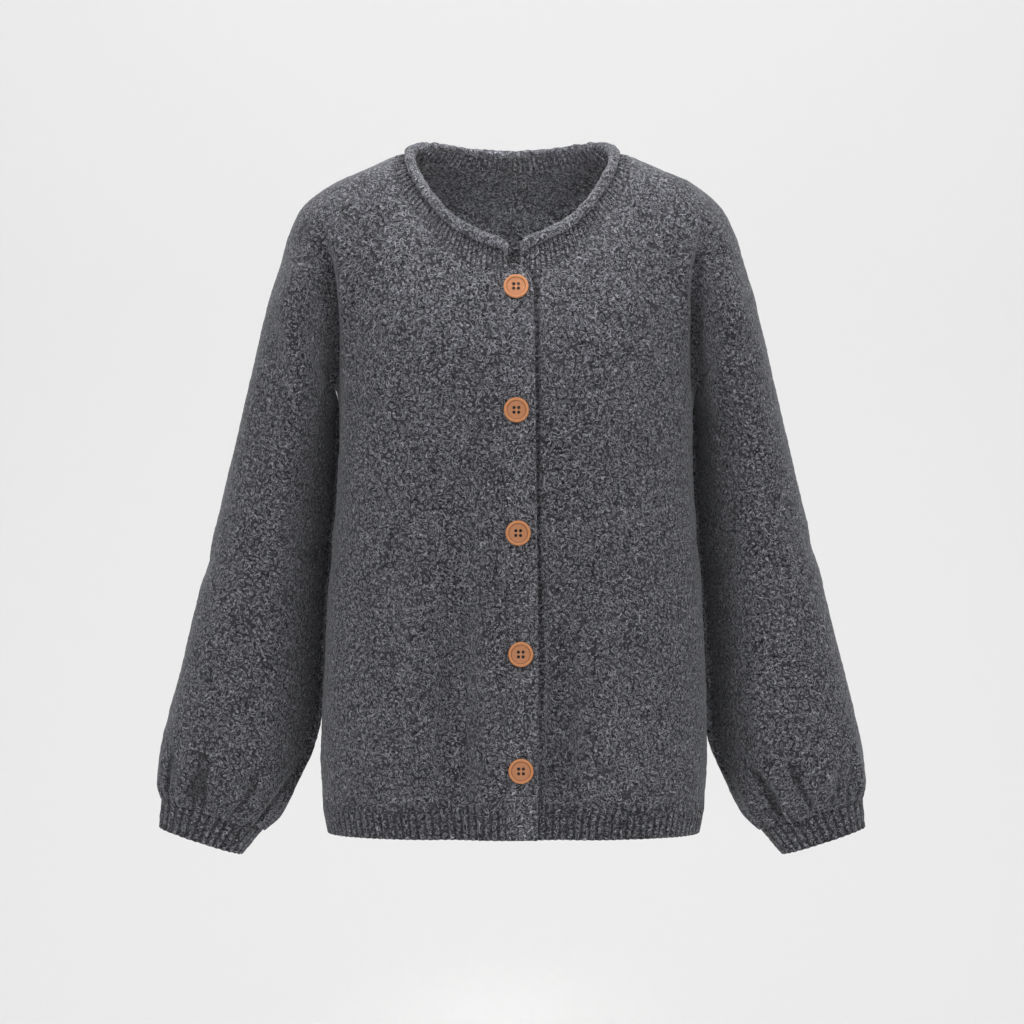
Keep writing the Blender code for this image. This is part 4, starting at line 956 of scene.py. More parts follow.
def hem_lines(node):
    """Lines along one length of the hem, from its lower edge up to the panel."""
    halves = {"hem_front_right": ((-1, -1),), "hem_front_left": ((1, -1),),
              "hem_back": ((-1, 1), (1, 1))}[node]
    rows = []
    for z in np.linspace(Z_HEM, Z_HEM_TOP - SEAM / 2, 5):
        lines = []
        for side, face in halves:
            first = side * float(band_edges(z)[max(side, 0)]) if face < 0 else 0.0
            lines.append(resampled(level_line(side, face, z, first), np.linspace(0, 1, 241)))
        line = lines[0] if len(lines) == 1 else np.concatenate([lines[0][::-1], lines[1][1:]])
        rows.append(front_shape(line, halves[0][0]) if len(lines) == 1 else line)
    return np.array(rows)


def ribbed_piece(node, grid, count, closed=False, spacing=1.5, inner_ribs=False,
                 outward=from_upright, crest=RIB_CREST - WALL / 2, seed=5):
    """A band knitted in rib: rounded crests, and a valley between each two that is painted in
    shade.
    """
    fine = refined(grid, spacing, closed, columns=RIB_COLUMNS * count)
    normal = grid_normals(fine, outward, closed)
    height, valleys = rib_relief(fine, count, crest, closed, seed)
    outer = fine + normal * height[..., None]
    if inner_ribs:
        depth = WALL / 2 + 1.3 * valleys - 0.5 + lumps(fine, RIB_LUMP, seed + 1) * 0.25
        inner = fine - normal * depth[..., None]
    else:
        inner = (fine - normal * WALL / 2)[::INNER_STEP, ::INNER_STEP]
    # The valleys mask paints shade into the rib valleys outside and, for the inner ribs, inside.
    knit_piece(node, outer, inner, rib_knit(), closed, valleys,
               inside=1 - valleys if inner_ribs else None)


def band_grid(node):
    """Coarse grid of one front band, bottom to top, from its seam to its free edge."""
    levels = np.concatenate([[Z_HEM], ROWS_LOW, np.linspace(Z_UNDERARM, Z_NECK_FRONT, 6)[1:]])
    grid = []
    for z in levels:
        low, high = band_edges(z)
        lift = smoothstep((z - Z_NECK_FRONT + BAND_TOP_LENGTH) / BAND_TOP_LENGTH)
        if node == "band_over":
            low, level, step = low + SEAM / 2, z + lift * TOP_OVER, -OVERLAP_STEP
        else:
            low, high, step = low - UNDER_WIDER, high - SEAM / 2, OVERLAP_STEP
            level = np.full(len(BAND_SHARES), z + lift * TOP_UNDER)
        x = low + BAND_SHARES * (high - low)
        points = np.stack([x, -SECTION["front"](level), level], axis=1)
        points = front_shape(onto_surface(1, points, fixed=(0, 2)))
        points[:, 1] += step
        grid.append(points)
    return np.array(grid)


def over_edge(fine, out):
    """The over band's relief with its fuller free edge and top."""
    across = np.linspace(0, 1, fine.shape[1])
    out = out + BAND_EDGE * np.exp(-(((across - BAND_EDGE_AT) / BAND_EDGE_WIDTH) ** 2))
    below = marks_of(fine)[-1] - marks_of(fine)[:, None]
    rim = np.exp(-(((below - BAND_RIM_AT) / BAND_RIM_WIDTH) ** 2))
    rim = rim * smoothstep((across - 0.15) / 0.2)
    return np.maximum(out, BAND_EDGE * rim * (1 - smoothstep((across - 0.8) / 0.15)))


def oval_ring(half, depth, power, count):
    """Points round a superellipse, evenly spaced and starting at the outer side."""
    angles = np.linspace(0, 2 * math.pi, 721)
    p = np.sign(np.cos(angles)) * np.abs(np.cos(angles)) ** (2 / power) * half
    q = -np.sign(np.sin(angles)) * np.abs(np.sin(angles)) ** (2 / power) * depth
    return resampled(np.stack([p, q], axis=1), np.linspace(0, 1, count + 1))[:-1]


def sleeve_grid(side):
    """Coarse rings of one sleeve, from the armhole to the cuff."""
    count = 2 * ROWS_HIGH
    front, back = armhole(side, -1, ROWS_HIGH), armhole(side, 1, ROWS_HIGH)
    ring = np.concatenate([front[::-1], back[1:-1]])
    high, low = sleeve_top(side), underarm(side)
    axis = high - low
    on_axis = ((ring - low) @ axis) / (axis @ axis)
    grid = [ring]
    for f in SLEEVE_ROWS[1:]:
        middle = (high[2] + low[2]) / 2 + f * (SLEEVE_END - (high[2] + low[2]) / 2)
        spread = SPREAD_TOP + (SPREAD_END - SPREAD_TOP) * smoothstep(f / 0.4)
        oz, iz = middle + spread / 2, middle - spread / 2
        ox = float(OUTSIDE(oz))
        rest = smoothstep(f / SLEEVE_TURN)
        rearward = SLEEVE_BACK * rest
        tuck = SLEEVE_BACK * smoothstep(f / 0.08) - rearward
        clear = SLEEVE_CLEAR + UNDERARM_CLEAR * (1 - smoothstep((f - 0.01) / 0.035))
        hang = torso_edge(side, rearward + tuck, iz) + clear
        ix = max(float(hang), float(INSIDE(iz)) if iz < SLEEVE_INSIDE[0][0] else 0.0)
        outer, inner = np.array([ox, 0, oz]), np.array([ix, 0, iz])
        half = np.linalg.norm(outer - inner) / 2
        oval = oval_ring(half, float(DEPTH(f)), ARM_POWER, count)
        along = (1 - rest) * (2 * on_axis - 1) + rest * oval[:, 0] / half
        deep = (1 - rest) * ring[:, 1] + rest * oval[:, 1]
        points = (outer + inner) / 2 + along[:, None] * (outer - inner) / 2
        points[:, 1] += deep + rearward + tuck * np.clip(-along, 0, 1) ** 2
        for _ in range(5):
            near = torso_edge(side, points[:, 1], points[:, 2]) + clear - points[:, 0]
            points[:, 0] += np.maximum(near, 0)
        grid.append(points)
    return np.array(grid) * (side, 1, 1)


def cuff_grid(side):
    """Coarse rings of one cuff, from its lower edge up."""
    grid = []
    for t in np.linspace(0, 1, 5):
        (ox, oz), (ix, iz), depth = (np.array(a) * (1 - t) + np.array(b) * t
                                     for a, b in zip(CUFF_BOTTOM, CUFF_TOP))
        outer, inner = np.array([ox, 0, oz]), np.array([ix, 0, iz])
        half = np.linalg.norm(outer - inner) / 2 - WALL / 2
        oval = oval_ring(half, depth, CUFF_POWER, CUFF_COLUMNS)
        points = (outer + inner) / 2 + oval[:, :1] * (outer - inner) / (2 * half + WALL)
        points[:, 1] += oval[:, 1] + SLEEVE_BACK
        grid.append(points * (side, 1, 1))
    return np.array(grid)


def neck_path():
    """Seam points round the neck from the over end, and the way into the panel from each."""
    made = panels()
    right = front_shape(made["front_right"], -1)
    left = front_shape(made["front_left"], 1)
    back_right, back_left = made["back"]
    front_count, back_count = NECK_COLUMNS_FRONT + 1, NECK_COLUMNS_BACK + 1
    rows = []
    for row in (-1, -2):
        rows.append(np.concatenate([
            right[row][:front_count][:-1], back_right[row][:back_count][::-1],
            back_left[row][1:back_count], left[row][:front_count][::-1][1:]]))
    seam, into = rows[0], rows[1] - rows[0]
    start, end = seam[0].copy(), seam[-1].copy()
    start[0], end[0] = NECK_END_OVER, NECK_END_UNDER
    end[1] += OVERLAP_STEP * 0.8
    return np.concatenate([[start], seam, [end]]), np.concatenate([into[:1], into, into[-1:]])


def roll_path(seam):
    """The roll's middle beside each point of the seam."""
    keys = np.array(NECK_FRONT + NECK_BACK[1:], float)
    steps = np.linalg.norm(np.diff(keys[:, :2], axis=0), axis=1)
    length = np.concatenate([[0], np.cumsum(steps)])
    shoulder = len(NECK_FRONT)
    curves = [smooth_curve(list(zip(length, keys[:, k]))) for k in (2, 3, 4)]
    points = []
    for x, y, z in seam:
        part = slice(0, shoulder) if y < 0 else slice(shoulder - 1, None)
        dense = np.linspace(length[part][0], length[part][-1], 400)
        seam_x = np.interp(dense, length[part], keys[part, 0])
        seam_z = np.interp(dense, length[part], keys[part, 1])
        at = dense[np.argmin((seam_x - abs(x)) ** 2 + (seam_z - z) ** 2)]
        points.append([math.copysign(curves[0](at), x), float(curves[1](at)), float(curves[2](at))])
    return np.array(points)


@functools.lru_cache
def neck_frame():
    """Foot, edge, outward and upward direction of the neckband, and its number of ribs."""
    seam, into = neck_path()
    dense = np.linspace(0, len(seam) - 1, NECK_DENSE * (len(seam) - 1) + 1)
    mark = np.arange(len(seam))
    fine = np.stack([np.interp(dense, mark, seam[:, k]) for k in range(3)], axis=1)
    into = np.stack([np.interp(dense, mark, into[:, k]) for k in range(3)], axis=1)
    roll = roll_path(fine)
    ends = (fine[:, 1] < -60) & (np.abs(fine[:, 0]) < 12)  # straight up at the front opening
    roll[ends, 0] = fine[ends, 0]
    # The roll's ends reach further than the band's, and its line is evened out.
    for end, rolled in ((fine[0], ROLL_END_OVER), (fine[-1], ROLL_END_UNDER)):
        away = np.linalg.norm(fine - end, axis=1)
        roll[:, 0] += (rolled - end[0]) * (1 - smoothstep(away / ROLL_END_REACH))
    for _ in range(ROLL_ROUNDS):
        roll[1:-1] = (roll[:-2] + 2 * roll[1:-1] + roll[2:]) / 4
    length = np.linalg.norm(np.diff(fine, axis=0), axis=1).sum()
    share = np.linspace(0, 1, 2 * round(length / NECK_RIB) + 1)
    low, top = resampled(fine, share), resampled(roll, share)
    up = top - low
    up /= np.linalg.norm(up, axis=1)[:, None]
    along = np.gradient((low + top) / 2, axis=0)
    out = np.cross(up, along)
    out /= np.linalg.norm(out, axis=1)[:, None]
    out *= np.sign((out * (low * (1, 1, 0))).sum(axis=1).mean())
    from_end = np.concatenate([[0], np.linalg.norm(np.diff(top, axis=0), axis=1).cumsum()])
    from_end = np.minimum(from_end, from_end[-1] - from_end)
    # A quarter round at each end of the band's top.
    corner = np.clip(NECK_END_ROUND - from_end, 0, None)
    drop = NECK_END_ROUND - np.sqrt(NECK_END_ROUND**2 - 0.9 * corner**2)
    edge = top - out * ROLL_RADIUS - up * drop[:, None]
    up = edge - low
    up /= np.linalg.norm(up, axis=1)[:, None]
    length = np.concatenate([[0], np.cumsum(np.linalg.norm(np.diff(fine, axis=0), axis=1))])
    into = np.stack([np.interp(share, length / length[-1], into[:, k]) for k in range(3)], axis=1)
    side_way = np.gradient(low, axis=0)
    side_way /= np.linalg.norm(side_way, axis=1)[:, None]
    into -= (into * side_way).sum(axis=1)[:, None] * side_way
    into /= np.linalg.norm(into, axis=1)[:, None]
    bend = np.clip(-(up * into).sum(axis=1), -0.5, 1)
    foot = NECK_FOOT + NECK_FOOT_FOLD * np.sqrt((1 - bend) / (1 + bend))
    return low + up * foot[:, None], edge, out, up, (len(share) - 1) // 2


def from_ring(points):
    """Outward direction for a tube, away from the middle of each ring."""
    return points - points.mean(axis=1, keepdims=True)


def from_roll(points):
    """Outward direction for the rolled edge, away from the middle of the roll."""
    return points - points.mean(axis=0, keepdims=True)


def gathers(turn, down, side):
    """Folds of the sleeve above the cuff, deeper and finer towards it and uneven, and the
    cuff's ribs where they run on into the sleeve."""
    bent = turn + 0.012 * np.sin(2 * math.pi * (4 * turn + 5 * down + 0.2 * side))
    keep = 0.05 + 0.95 * np.abs(np.sin(2 * math.pi * turn)) ** 0.7
    varied = 1 + 0.5 * np.sin(2 * math.pi * (3 * turn + 0.15 * side))
    large = np.cos(2 * math.pi * (GATHERS * bent + 0.3 * side)) * smoothstep((down - 0.82) / 0.11)
    small = np.cos(2 * math.pi * (SMALL_GATHERS * bent + 0.2 * side))
    small = small * smoothstep((down - 0.84) / 0.09)
    rib = -np.cos(math.pi * CUFF_COLUMNS * turn) * smoothstep((down - 0.925) / 0.05)
    close = 1 - smoothstep((down - 0.96) / 0.04)
    large = GATHER_DEPTH * large * varied * (0.35 + 0.65 * close)
    return (large + SMALL_GATHER_DEPTH * small * close) * keep + rib


def turn_button(node, settings):
    """One button at its node's place: turned rim, groove and dish, and four drilled holes."""
    x, z = BUTTONS[int(node.split("_")[1]) - 1]
    spots = front_shape(onto_surface(1, [[x, -100.0, z + dz] for dz in (0.0, 8.0, -8.0)],
                                     fixed=(0, 2)))
    slope = (spots[1] - spots[2]) / np.linalg.norm(spots[1] - spots[2])
    facing = Vector((0, -slope[2], slope[1])).normalized()
    middle = (Vector(spots[0]) + facing * (OVERLAP_STEP + BAND_WALL / 2 + BUTTON_GAP)) * MM
    radius, thick = settings.diameter / 2, BUTTON_T * MM
    bpy.ops.object.select_all(action="DESELECT")
    bpy.ops.mesh.primitive_cylinder_add(
        vertices=settings.sides, radius=radius, depth=BUTTON_BODY * thick,
        location=(0, 0, BUTTON_BODY / 2 * thick))
    button = bpy.context.object
    button.name = "wood_" + node
    bpy.ops.object.transform_apply(location=True, rotation=False, scale=False)
    for face in button.data.polygons:
        face.select = face.normal.z < -0.9
    bpy.ops.object.mode_set(mode="EDIT")
    bpy.ops.mesh.select_mode(type="FACE")
    bpy.ops.transform.resize(value=(BUTTON_BACK, BUTTON_BACK, 1))
    bpy.ops.object.mode_set(mode="OBJECT")
    for face in button.data.polygons:
        face.select = face.normal.z > 0.9
    bpy.ops.object.mode_set(mode="EDIT")
    ring = (1.0, BUTTON_BODY)
    for reach, height in BUTTON_PROFILE:
        bpy.ops.mesh.inset(thickness=(ring[0] - reach) * radius,
                           depth=(height - ring[1]) * thick)
        ring = (reach, height)
    bpy.ops.object.mode_set(mode="OBJECT")
    smooth = button.modifiers.new("Smooth", "SUBSURF")
    smooth.levels = smooth.render_levels = 1
    bpy.ops.object.modifier_apply(modifier="Smooth")
    smoothed = max(math.hypot(v.co.x, v.co.y) for v in button.data.vertices)
    button.scale = (radius / smoothed, radius / smoothed, 1)
    bpy.ops.object.transform_apply(location=False, rotation=False, scale=True)
    for k in range(4):
        angle = math.pi / 4 + k * math.pi / 2
        reach = BUTTON_HOLE_PITCH / math.sqrt(2) * MM
        bpy.ops.mesh.primitive_cylinder_add(
            vertices=20, radius=BUTTON_HOLE_D / 2 * MM, depth=4 * thick,
            location=(reach * math.cos(angle), reach * math.sin(angle), 0))
        drill = bpy.context.object
        cut = button.modifiers.new("Hole", "BOOLEAN")
        cut.operation, cut.object = "DIFFERENCE", drill
        bpy.context.view_layer.objects.active = button
        bpy.ops.object.modifier_apply(modifier="Hole")
        bpy.data.objects.remove(drill, do_unlink=True)
    bpy.ops.object.select_all(action="DESELECT")
    button.select_set(True)
    bpy.ops.object.shade_smooth_by_angle(angle=math.radians(40))
    mesh = button.data
    layer = mesh.attributes.new("button_place", "FLOAT_VECTOR", "POINT")
    place = np.array([v.co for v in mesh.vertices]) / radius
    layer.data.foreach_set("vector", place.astype(np.float32).reshape(-1))
    turned = facing.to_track_quat("Z", "Y").to_matrix().to_4x4()
    mesh.transform(Matrix.Translation(middle) @ turned)
    mesh.materials.clear()
    mesh.materials.append(wood_material())
    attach(button, "root")
    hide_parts(node)


# ---------------------------------------------------------------- finishes


def add_node(tree, kind, x, y, **values):
    """A shader node at a place in its tree, with attributes by name and inputs by in_NAME."""
    node = tree.nodes.new(kind)
    node.location = (x, y)
    for key, value in values.items():
        if key.startswith("in_"):
            node.inputs[key[3:].replace("_", " ")].default_value = value
        else:
            setattr(node, key, value)
    return node


def math_node(tree, x, y, operation, *values):
    """The output of a Math node on numbers or other outputs."""
    node = add_node(tree, "ShaderNodeMath", x, y, operation=operation)
    for slot, value in zip(node.inputs, values):
        if isinstance(value, (int, float)):
            slot.default_value = value
        else:
            tree.links.new(value, slot)
    return node.outputs[0]


def remap(tree, x, y, value, low, high, to_low=0.0, to_high=1.0):
    """Smooth step of a value from the range low..high."""
    node = add_node(tree, "ShaderNodeMapRange", x, y, interpolation_type="SMOOTHSTEP")
    tree.links.new(value, node.inputs["Value"])
    for key, number in (("From Min", low), ("From Max", high), ("To Min", to_low),
                        ("To Max", to_high)):
        node.inputs[key].default_value = number
    return node.outputs["Result"]


def new_group(name, inputs, outputs):
    """A node group with named inputs and outputs, and its two end nodes."""
    tree = bpy.data.node_groups.new(name, "ShaderNodeTree")
    for label, kind, value in inputs:
        socket = tree.interface.new_socket(label, in_out="INPUT", socket_type=kind)
        if value is not None:
            socket.default_value = value
    for label in outputs:
        tree.interface.new_socket(label, in_out="OUTPUT", socket_type="NodeSocketFloat")
    given = add_node(tree, "NodeGroupInput", -1600, 0)
    return tree, given, add_node(tree, "NodeGroupOutput", 1200, 0)


def threads(tree, x, y, point, turn, scale, lines, half_width):
    """Curly threads of an even width: the contours of a noise field, lines of them over its
    range. point is in strand spacings, and so is half_width."""
    link = tree.links.new
    turned = add_node(tree, "ShaderNodeVectorRotate", x - 160, y, rotation_type="EULER_XYZ")
    link(point, turned.inputs["Vector"])
    turned.inputs["Rotation"].default_value = turn
    fields = []
    for number, shift in enumerate(((0.0, 0.0, 0.0), (SLOPE_STEP, 0.0, 0.0),
                                    (0.0, SLOPE_STEP, 0.0), (0.0, 0.0, SLOPE_STEP))):
        moved = add_node(tree, "ShaderNodeVectorMath", x, y - 150 * number, operation="ADD")
        link(turned.outputs[0], moved.inputs[0])
        moved.inputs[1].default_value = shift
        noise = add_node(tree, "ShaderNodeTexNoise", x + 160, y - 150 * number, in_Scale=scale,
                         in_Detail=0.0)
        link(moved.outputs[0], noise.inputs["Vector"])
        fields.append(noise.outputs["Fac"])
    slope = add_node(tree, "ShaderNodeCombineXYZ", x + 500, y - 150)
    for number in range(3):
        rise = math_node(tree, x + 340, y - 150 * number, "SUBTRACT", fields[number + 1],
                         fields[0])
        link(rise, slope.inputs[number])
    steep = add_node(tree, "ShaderNodeVectorMath", x + 660, y - 150, operation="LENGTH")
    link(slope.outputs[0], steep.inputs[0])
    turns = math_node(tree, x + 340, y + 100, "MULTIPLY_ADD", fields[0], lines,
                      0.27 - 0.5 * lines)
    near = math_node(tree, x + 500, y + 100, "PINGPONG", turns, 0.5)
    per_turn = math_node(tree, x + 820, y - 150, "MULTIPLY", steep.outputs["Value"],
                         lines / SLOPE_STEP)
    away = math_node(tree, x + 980, y, "DIVIDE", near, per_turn)
    return remap(tree, x + 1140, y, away, 0.45 * half_width, 1.3 * half_width, 1.0, 0.0)


@functools.lru_cache
def tangle_group():
    """Curly strands of marl yarn: hooks, small loops and parallel runs over gaps that are painted
    in shade. It puts out the strands, the gaps, soft lighter and darker patches, and the height."""
    tree, given, result = new_group(
        "Yarn tangle",
        (("Vector", "NodeSocketVector", None), ("Strand", "NodeSocketFloat", 2.2)),
        ("Strands", "Gaps", "Patches", "Height"))
    link = tree.links.new
    mm = add_node(tree, "ShaderNodeVectorMath", -3000, 0, operation="SCALE", in_Scale=1000.0)
    link(given.outputs["Vector"], mm.inputs[0])
    size = add_node(tree, "ShaderNodeVectorMath", -2800, 0, operation="DIVIDE")
    link(mm.outputs[0], size.inputs[0])
    link(given.outputs["Strand"], size.inputs[1])
    upper = threads(tree, -2600, 300, size.outputs[0], (0.6, 0.7, 0.5),
                    0.60, 2.4, 0.17)
    lower = threads(tree, -2600, -500, size.outputs[0], (-0.4, 0.9, 1.1),
                    0.72, 2.2, 0.17)
    # Some lengths lie deeper in the cloth, and their strands are painted darker there as shade.
    lie = add_node(tree, "ShaderNodeTexNoise", -1200, -900, in_Scale=0.62, in_Detail=1.0)
    link(size.outputs[0], lie.inputs["Vector"])
    on_top = remap(tree, -1000, -900, lie.outputs["Fac"], 0.40, 0.62)
    raised = math_node(tree, -800, 100, "MULTIPLY", upper, on_top)
    sunk = math_node(tree, -800, -100, "MULTIPLY", lower, 0.42)
    lit = math_node(tree, -600, 0, "MAXIMUM", raised, sunk)
    # Gaps between the strands, which the materials paint in shade.
    hollow = add_node(tree, "ShaderNodeTexNoise", -1200, -1150, in_Scale=0.8, in_Detail=0.0)
    link(size.outputs[0], hollow.inputs["Vector"])
    gaps = remap(tree, -1000, -1150, hollow.outputs["Fac"], 0.52, 0.72)
    between = remap(tree, -400, -300, lit, 0.4, 0.05)
    gaps = math_node(tree, -200, -300, "MULTIPLY", gaps, between)
    patch = add_node(tree, "ShaderNodeTexNoise", -1200, -1400, in_Scale=0.075, in_Detail=2.0)
    link(size.outputs[0], patch.inputs["Vector"])
    height = math_node(tree, 0, 0, "MULTIPLY_ADD", gaps, -0.5, lit)
    link(lit, result.inputs["Strands"])
    link(gaps, result.inputs["Gaps"])
    link(patch.outputs["Fac"], result.inputs["Patches"])
    link(height, result.inputs["Height"])
    return tree


def mixed(tree, x, y, share, first, second, blend="MIX"):
    """A colour mixed from two, each a colour or an output, by a varying share."""
    node = add_node(tree, "ShaderNodeMix", x, y, data_type="RGBA", blend_type=blend)
    for socket, value in ((node.inputs["Factor"], share), (node.inputs[6], first),
                          (node.inputs[7], second)):
        if hasattr(value, "is_output"):
            tree.links.new(value, socket)
        else:
            socket.default_value = value if isinstance(value, float) else (*value, 1.0)
    return node.outputs[2]


@functools.lru_cache
def knit_material(name, strand, shade):
    """Charcoal marl yarn. strand is the size of its loops and shade how much lighter its colours
    are painted.
    """
    settings = bpy.context.scene.cardigan_knit
    material = bpy.data.materials.new(name)
    material.use_nodes = True
    tree = material.node_tree
    shader = tree.nodes["Principled BSDF"]
    where = add_node(tree, "ShaderNodeTexCoord", -1400, 0)
    tangle = add_node(tree, "ShaderNodeGroup", -1100, 0, node_tree=tangle_group())
    tangle.inputs["Strand"].default_value = strand
    tree.links.new(where.outputs["Object"], tangle.inputs["Vector"])
    dark, middle, light = (tuple(shade * channel for channel in colour) for colour in (
        settings.painted_shade_colour, settings.yarn_colour, settings.strand_colour))
    patches = remap(tree, -900, -300, tangle.outputs["Patches"], 0.36, 0.64)
    ground = mixed(tree, -700, 0, patches, tuple(0.82 * c for c in middle),
                   tuple(1.18 * c for c in middle))
    colour = mixed(tree, -500, 0, tangle.outputs["Strands"], ground, light)
    # The gaps between the strands are painted in shade.
    colour = mixed(tree, -300, 0, tangle.outputs["Gaps"], colour, dark)
    # Painted shade: the yarn is darkened in the rib valleys and gathers, by the attribute set on
    # each piece.
    valley = add_node(tree, "ShaderNodeAttribute", -700, -400, attribute_name="painted_valley_shade")
    deep = remap(tree, -500, -400, valley.outputs["Fac"], 0.35, 0.95, 0.0, 0.78)
    colour = mixed(tree, -100, 0, deep, colour, dark)
    tree.links.new(colour, shader.inputs["Base Color"])
    bump = add_node(tree, "ShaderNodeBump", -300, -300, in_Strength=1.0, in_Distance=0.0011)
    tree.links.new(tangle.outputs["Height"], bump.inputs["Height"])
    tree.links.new(bump.outputs["Normal"], shader.inputs["Normal"])
    shader.inputs["Roughness"].default_value = 0.92
    shader.inputs["Specular IOR Level"].default_value = 0.18
    shader.inputs["Sheen Weight"].default_value = 0.25
    shader.inputs["Sheen Roughness"].default_value = 0.5
    shader.inputs["Sheen Tint"].default_value = (0.8, 0.82, 0.86, 1.0)
    return material


def plain_knit():
    """Yarn of the fronts, back and sleeves."""
    return knit_material("charcoal_marl_knit", 2.0, 1.0)


def rib_knit():
    """Yarn of the hem, cuffs and neckband."""
    return knit_material("charcoal_marl_rib", 1.9, 1.08)


def band_knit():
    """Yarn of the front bands and the rolled edge, painted lighter for the light that they catch.
    """
    return knit_material("charcoal_marl_band", 1.95, 1.16)


@functools.lru_cache
def wood_material():
    """Satin wood with faint rings from the turning."""
    settings = bpy.context.scene.cardigan_buttons
    material = bpy.data.materials.new("turned_wood")
    material.use_nodes = True
    tree = material.node_tree
    shader = tree.nodes["Principled BSDF"]
    tone = add_node(tree, "ShaderNodeAttribute", -900, 0, attribute_name="button_place")
    split = add_node(tree, "ShaderNodeSeparateXYZ", -700, 0)
    tree.links.new(tone.outputs["Vector"], split.inputs[0])
    grain = add_node(tree, "ShaderNodeTexNoise", -700, -250, in_Scale=5.0, in_Detail=4.0)
    stretch = add_node(tree, "ShaderNodeMapping", -900, -250)
    stretch.inputs["Scale"].default_value = (1.0, 7.0, 1.0)
    tree.links.new(tone.outputs["Vector"], stretch.inputs["Vector"])
    tree.links.new(stretch.outputs[0], grain.inputs["Vector"])
    length = add_node(tree, "ShaderNodeVectorMath", -700, 200, operation="LENGTH")
    tree.links.new(tone.outputs["Vector"], length.inputs[0])
    wobble = math_node(tree, -500, 200, "MULTIPLY_ADD", grain.outputs["Fac"], 0.05,
                       length.outputs["Value"])
    rings = math_node(tree, -350, 200, "SINE", math_node(tree, -420, 250, "MULTIPLY", wobble, 62.0))
    # The rim is painted lighter than the dish, as a highlight.
    rim = remap(tree, -350, 0, length.outputs["Value"], 0.78, 0.86)
    colour = mixed(tree, -150, 0, rim, tuple(settings.dish_colour), tuple(settings.rim_highlight_colour))
    colour = mixed(tree, 0, 0, remap(tree, -150, -250, grain.outputs["Fac"], 0.35, 0.7, 0.0, 0.45),
                   colour, tuple(settings.grain_colour))
    colour = mixed(tree, 150, 0, remap(tree, 0, 200, rings, 0.2, 1.0, 0.0, 0.16), colour,
                   tuple(settings.grain_colour))
    # Painted shade in the turned groove.
    groove = remap(tree, -350, -120, math_node(tree, -420, -120, "ABSOLUTE", math_node(
        tree, -500, -120, "SUBTRACT", length.outputs["Value"], BUTTON_GROOVE)),
        0.055, 0.0, 0.0, 0.9)
    colour = mixed(tree, 300, 0, groove, colour, tuple(settings.groove_shade_colour))
    middle = BUTTON_HOLE_PITCH / BUTTON_D
    aside = [math_node(tree, -500, -500 - 60 * k, "SUBTRACT", math_node(
        tree, -600, -500 - 60 * k, "ABSOLUTE", split.outputs[k]), middle) for k in range(2)]
    squares = [math_node(tree, -350, -500 - 60 * k, "MULTIPLY", aside[k], aside[k])
               for k in range(2)]
    away = math_node(tree, -100, -500, "SQRT", math_node(tree, -200, -500, "ADD", *squares))
    hole = BUTTON_HOLE_D / BUTTON_D
    # Painted shade in and round each drilled hole.
    hole_shade = remap(tree, 100, -500, away, 1.25 * hole, 1.55 * hole, 1.0, 0.0)
    colour = mixed(tree, 450, 0, hole_shade, colour, (0.012, 0.006, 0.004))
    tree.links.new(colour, shader.inputs["Base Color"])
    bump = add_node(tree, "ShaderNodeBump", 100, -300, in_Strength=0.25, in_Distance=0.0002)
    tree.links.new(rings, bump.inputs["Height"])
    tree.links.new(bump.outputs["Normal"], shader.inputs["Normal"])
    shader.inputs["Roughness"].default_value = 0.42
    shader.inputs["Specular IOR Level"].default_value = 0.4
    return material


def plain_material(name, colour, roughness):
    """A finish of one even colour."""
    material = bpy.data.materials.new(name)
    material.use_nodes = True
    shader = material.node_tree.nodes["Principled BSDF"]
    shader.inputs["Base Color"].default_value = (*colour, 1.0)
    shader.inputs["Roughness"].default_value = roughness
    return material


# ---------------------------------------------------------------- settings


class KnitSettings(bpy.types.PropertyGroup):
    """Yarn and cloth of the plain knitted pieces."""

    grid_spacing: FloatProperty(
        name="Cloth grid", description="Distance between points of the fronts and sleeves",
        default=0.0016, min=0.0012, max=0.006, unit="LENGTH")
    back_spacing: FloatProperty(
        name="Back grid", description="Distance between points of the back",
        default=0.00185, min=0.0014, max=0.006, unit="LENGTH")
    lump_size: FloatProperty(
        name="Lump size", description="Size of the small swellings of the yarn",
        default=0.0042, min=0.001, max=0.02, unit="LENGTH")
    lump_height: FloatProperty(
        name="Lump height", description="How far the small swellings stand out",
        default=0.00045, min=0.0, max=0.002, unit="LENGTH")
    yarn_colour: FloatVectorProperty(
        name="Yarn", description="Body colour of the yarn", subtype="COLOR", size=3,
        default=(0.0300, 0.0302, 0.0345), min=0.0, max=1.0)
    strand_colour: FloatVectorProperty(
        name="Light strands", description="Colour of the lighter strands in the marl",
        subtype="COLOR", size=3, default=(0.262, 0.263, 0.292), min=0.0, max=1.0)
    # Colour of the painted shade in the gaps between the strands, in the rib valleys and in the
    # gathers.
    painted_shade_colour: FloatVectorProperty(
        name="Gaps", description="Colour deep between the strands", subtype="COLOR", size=3,
        default=(0.006, 0.006, 0.008), min=0.0, max=1.0)


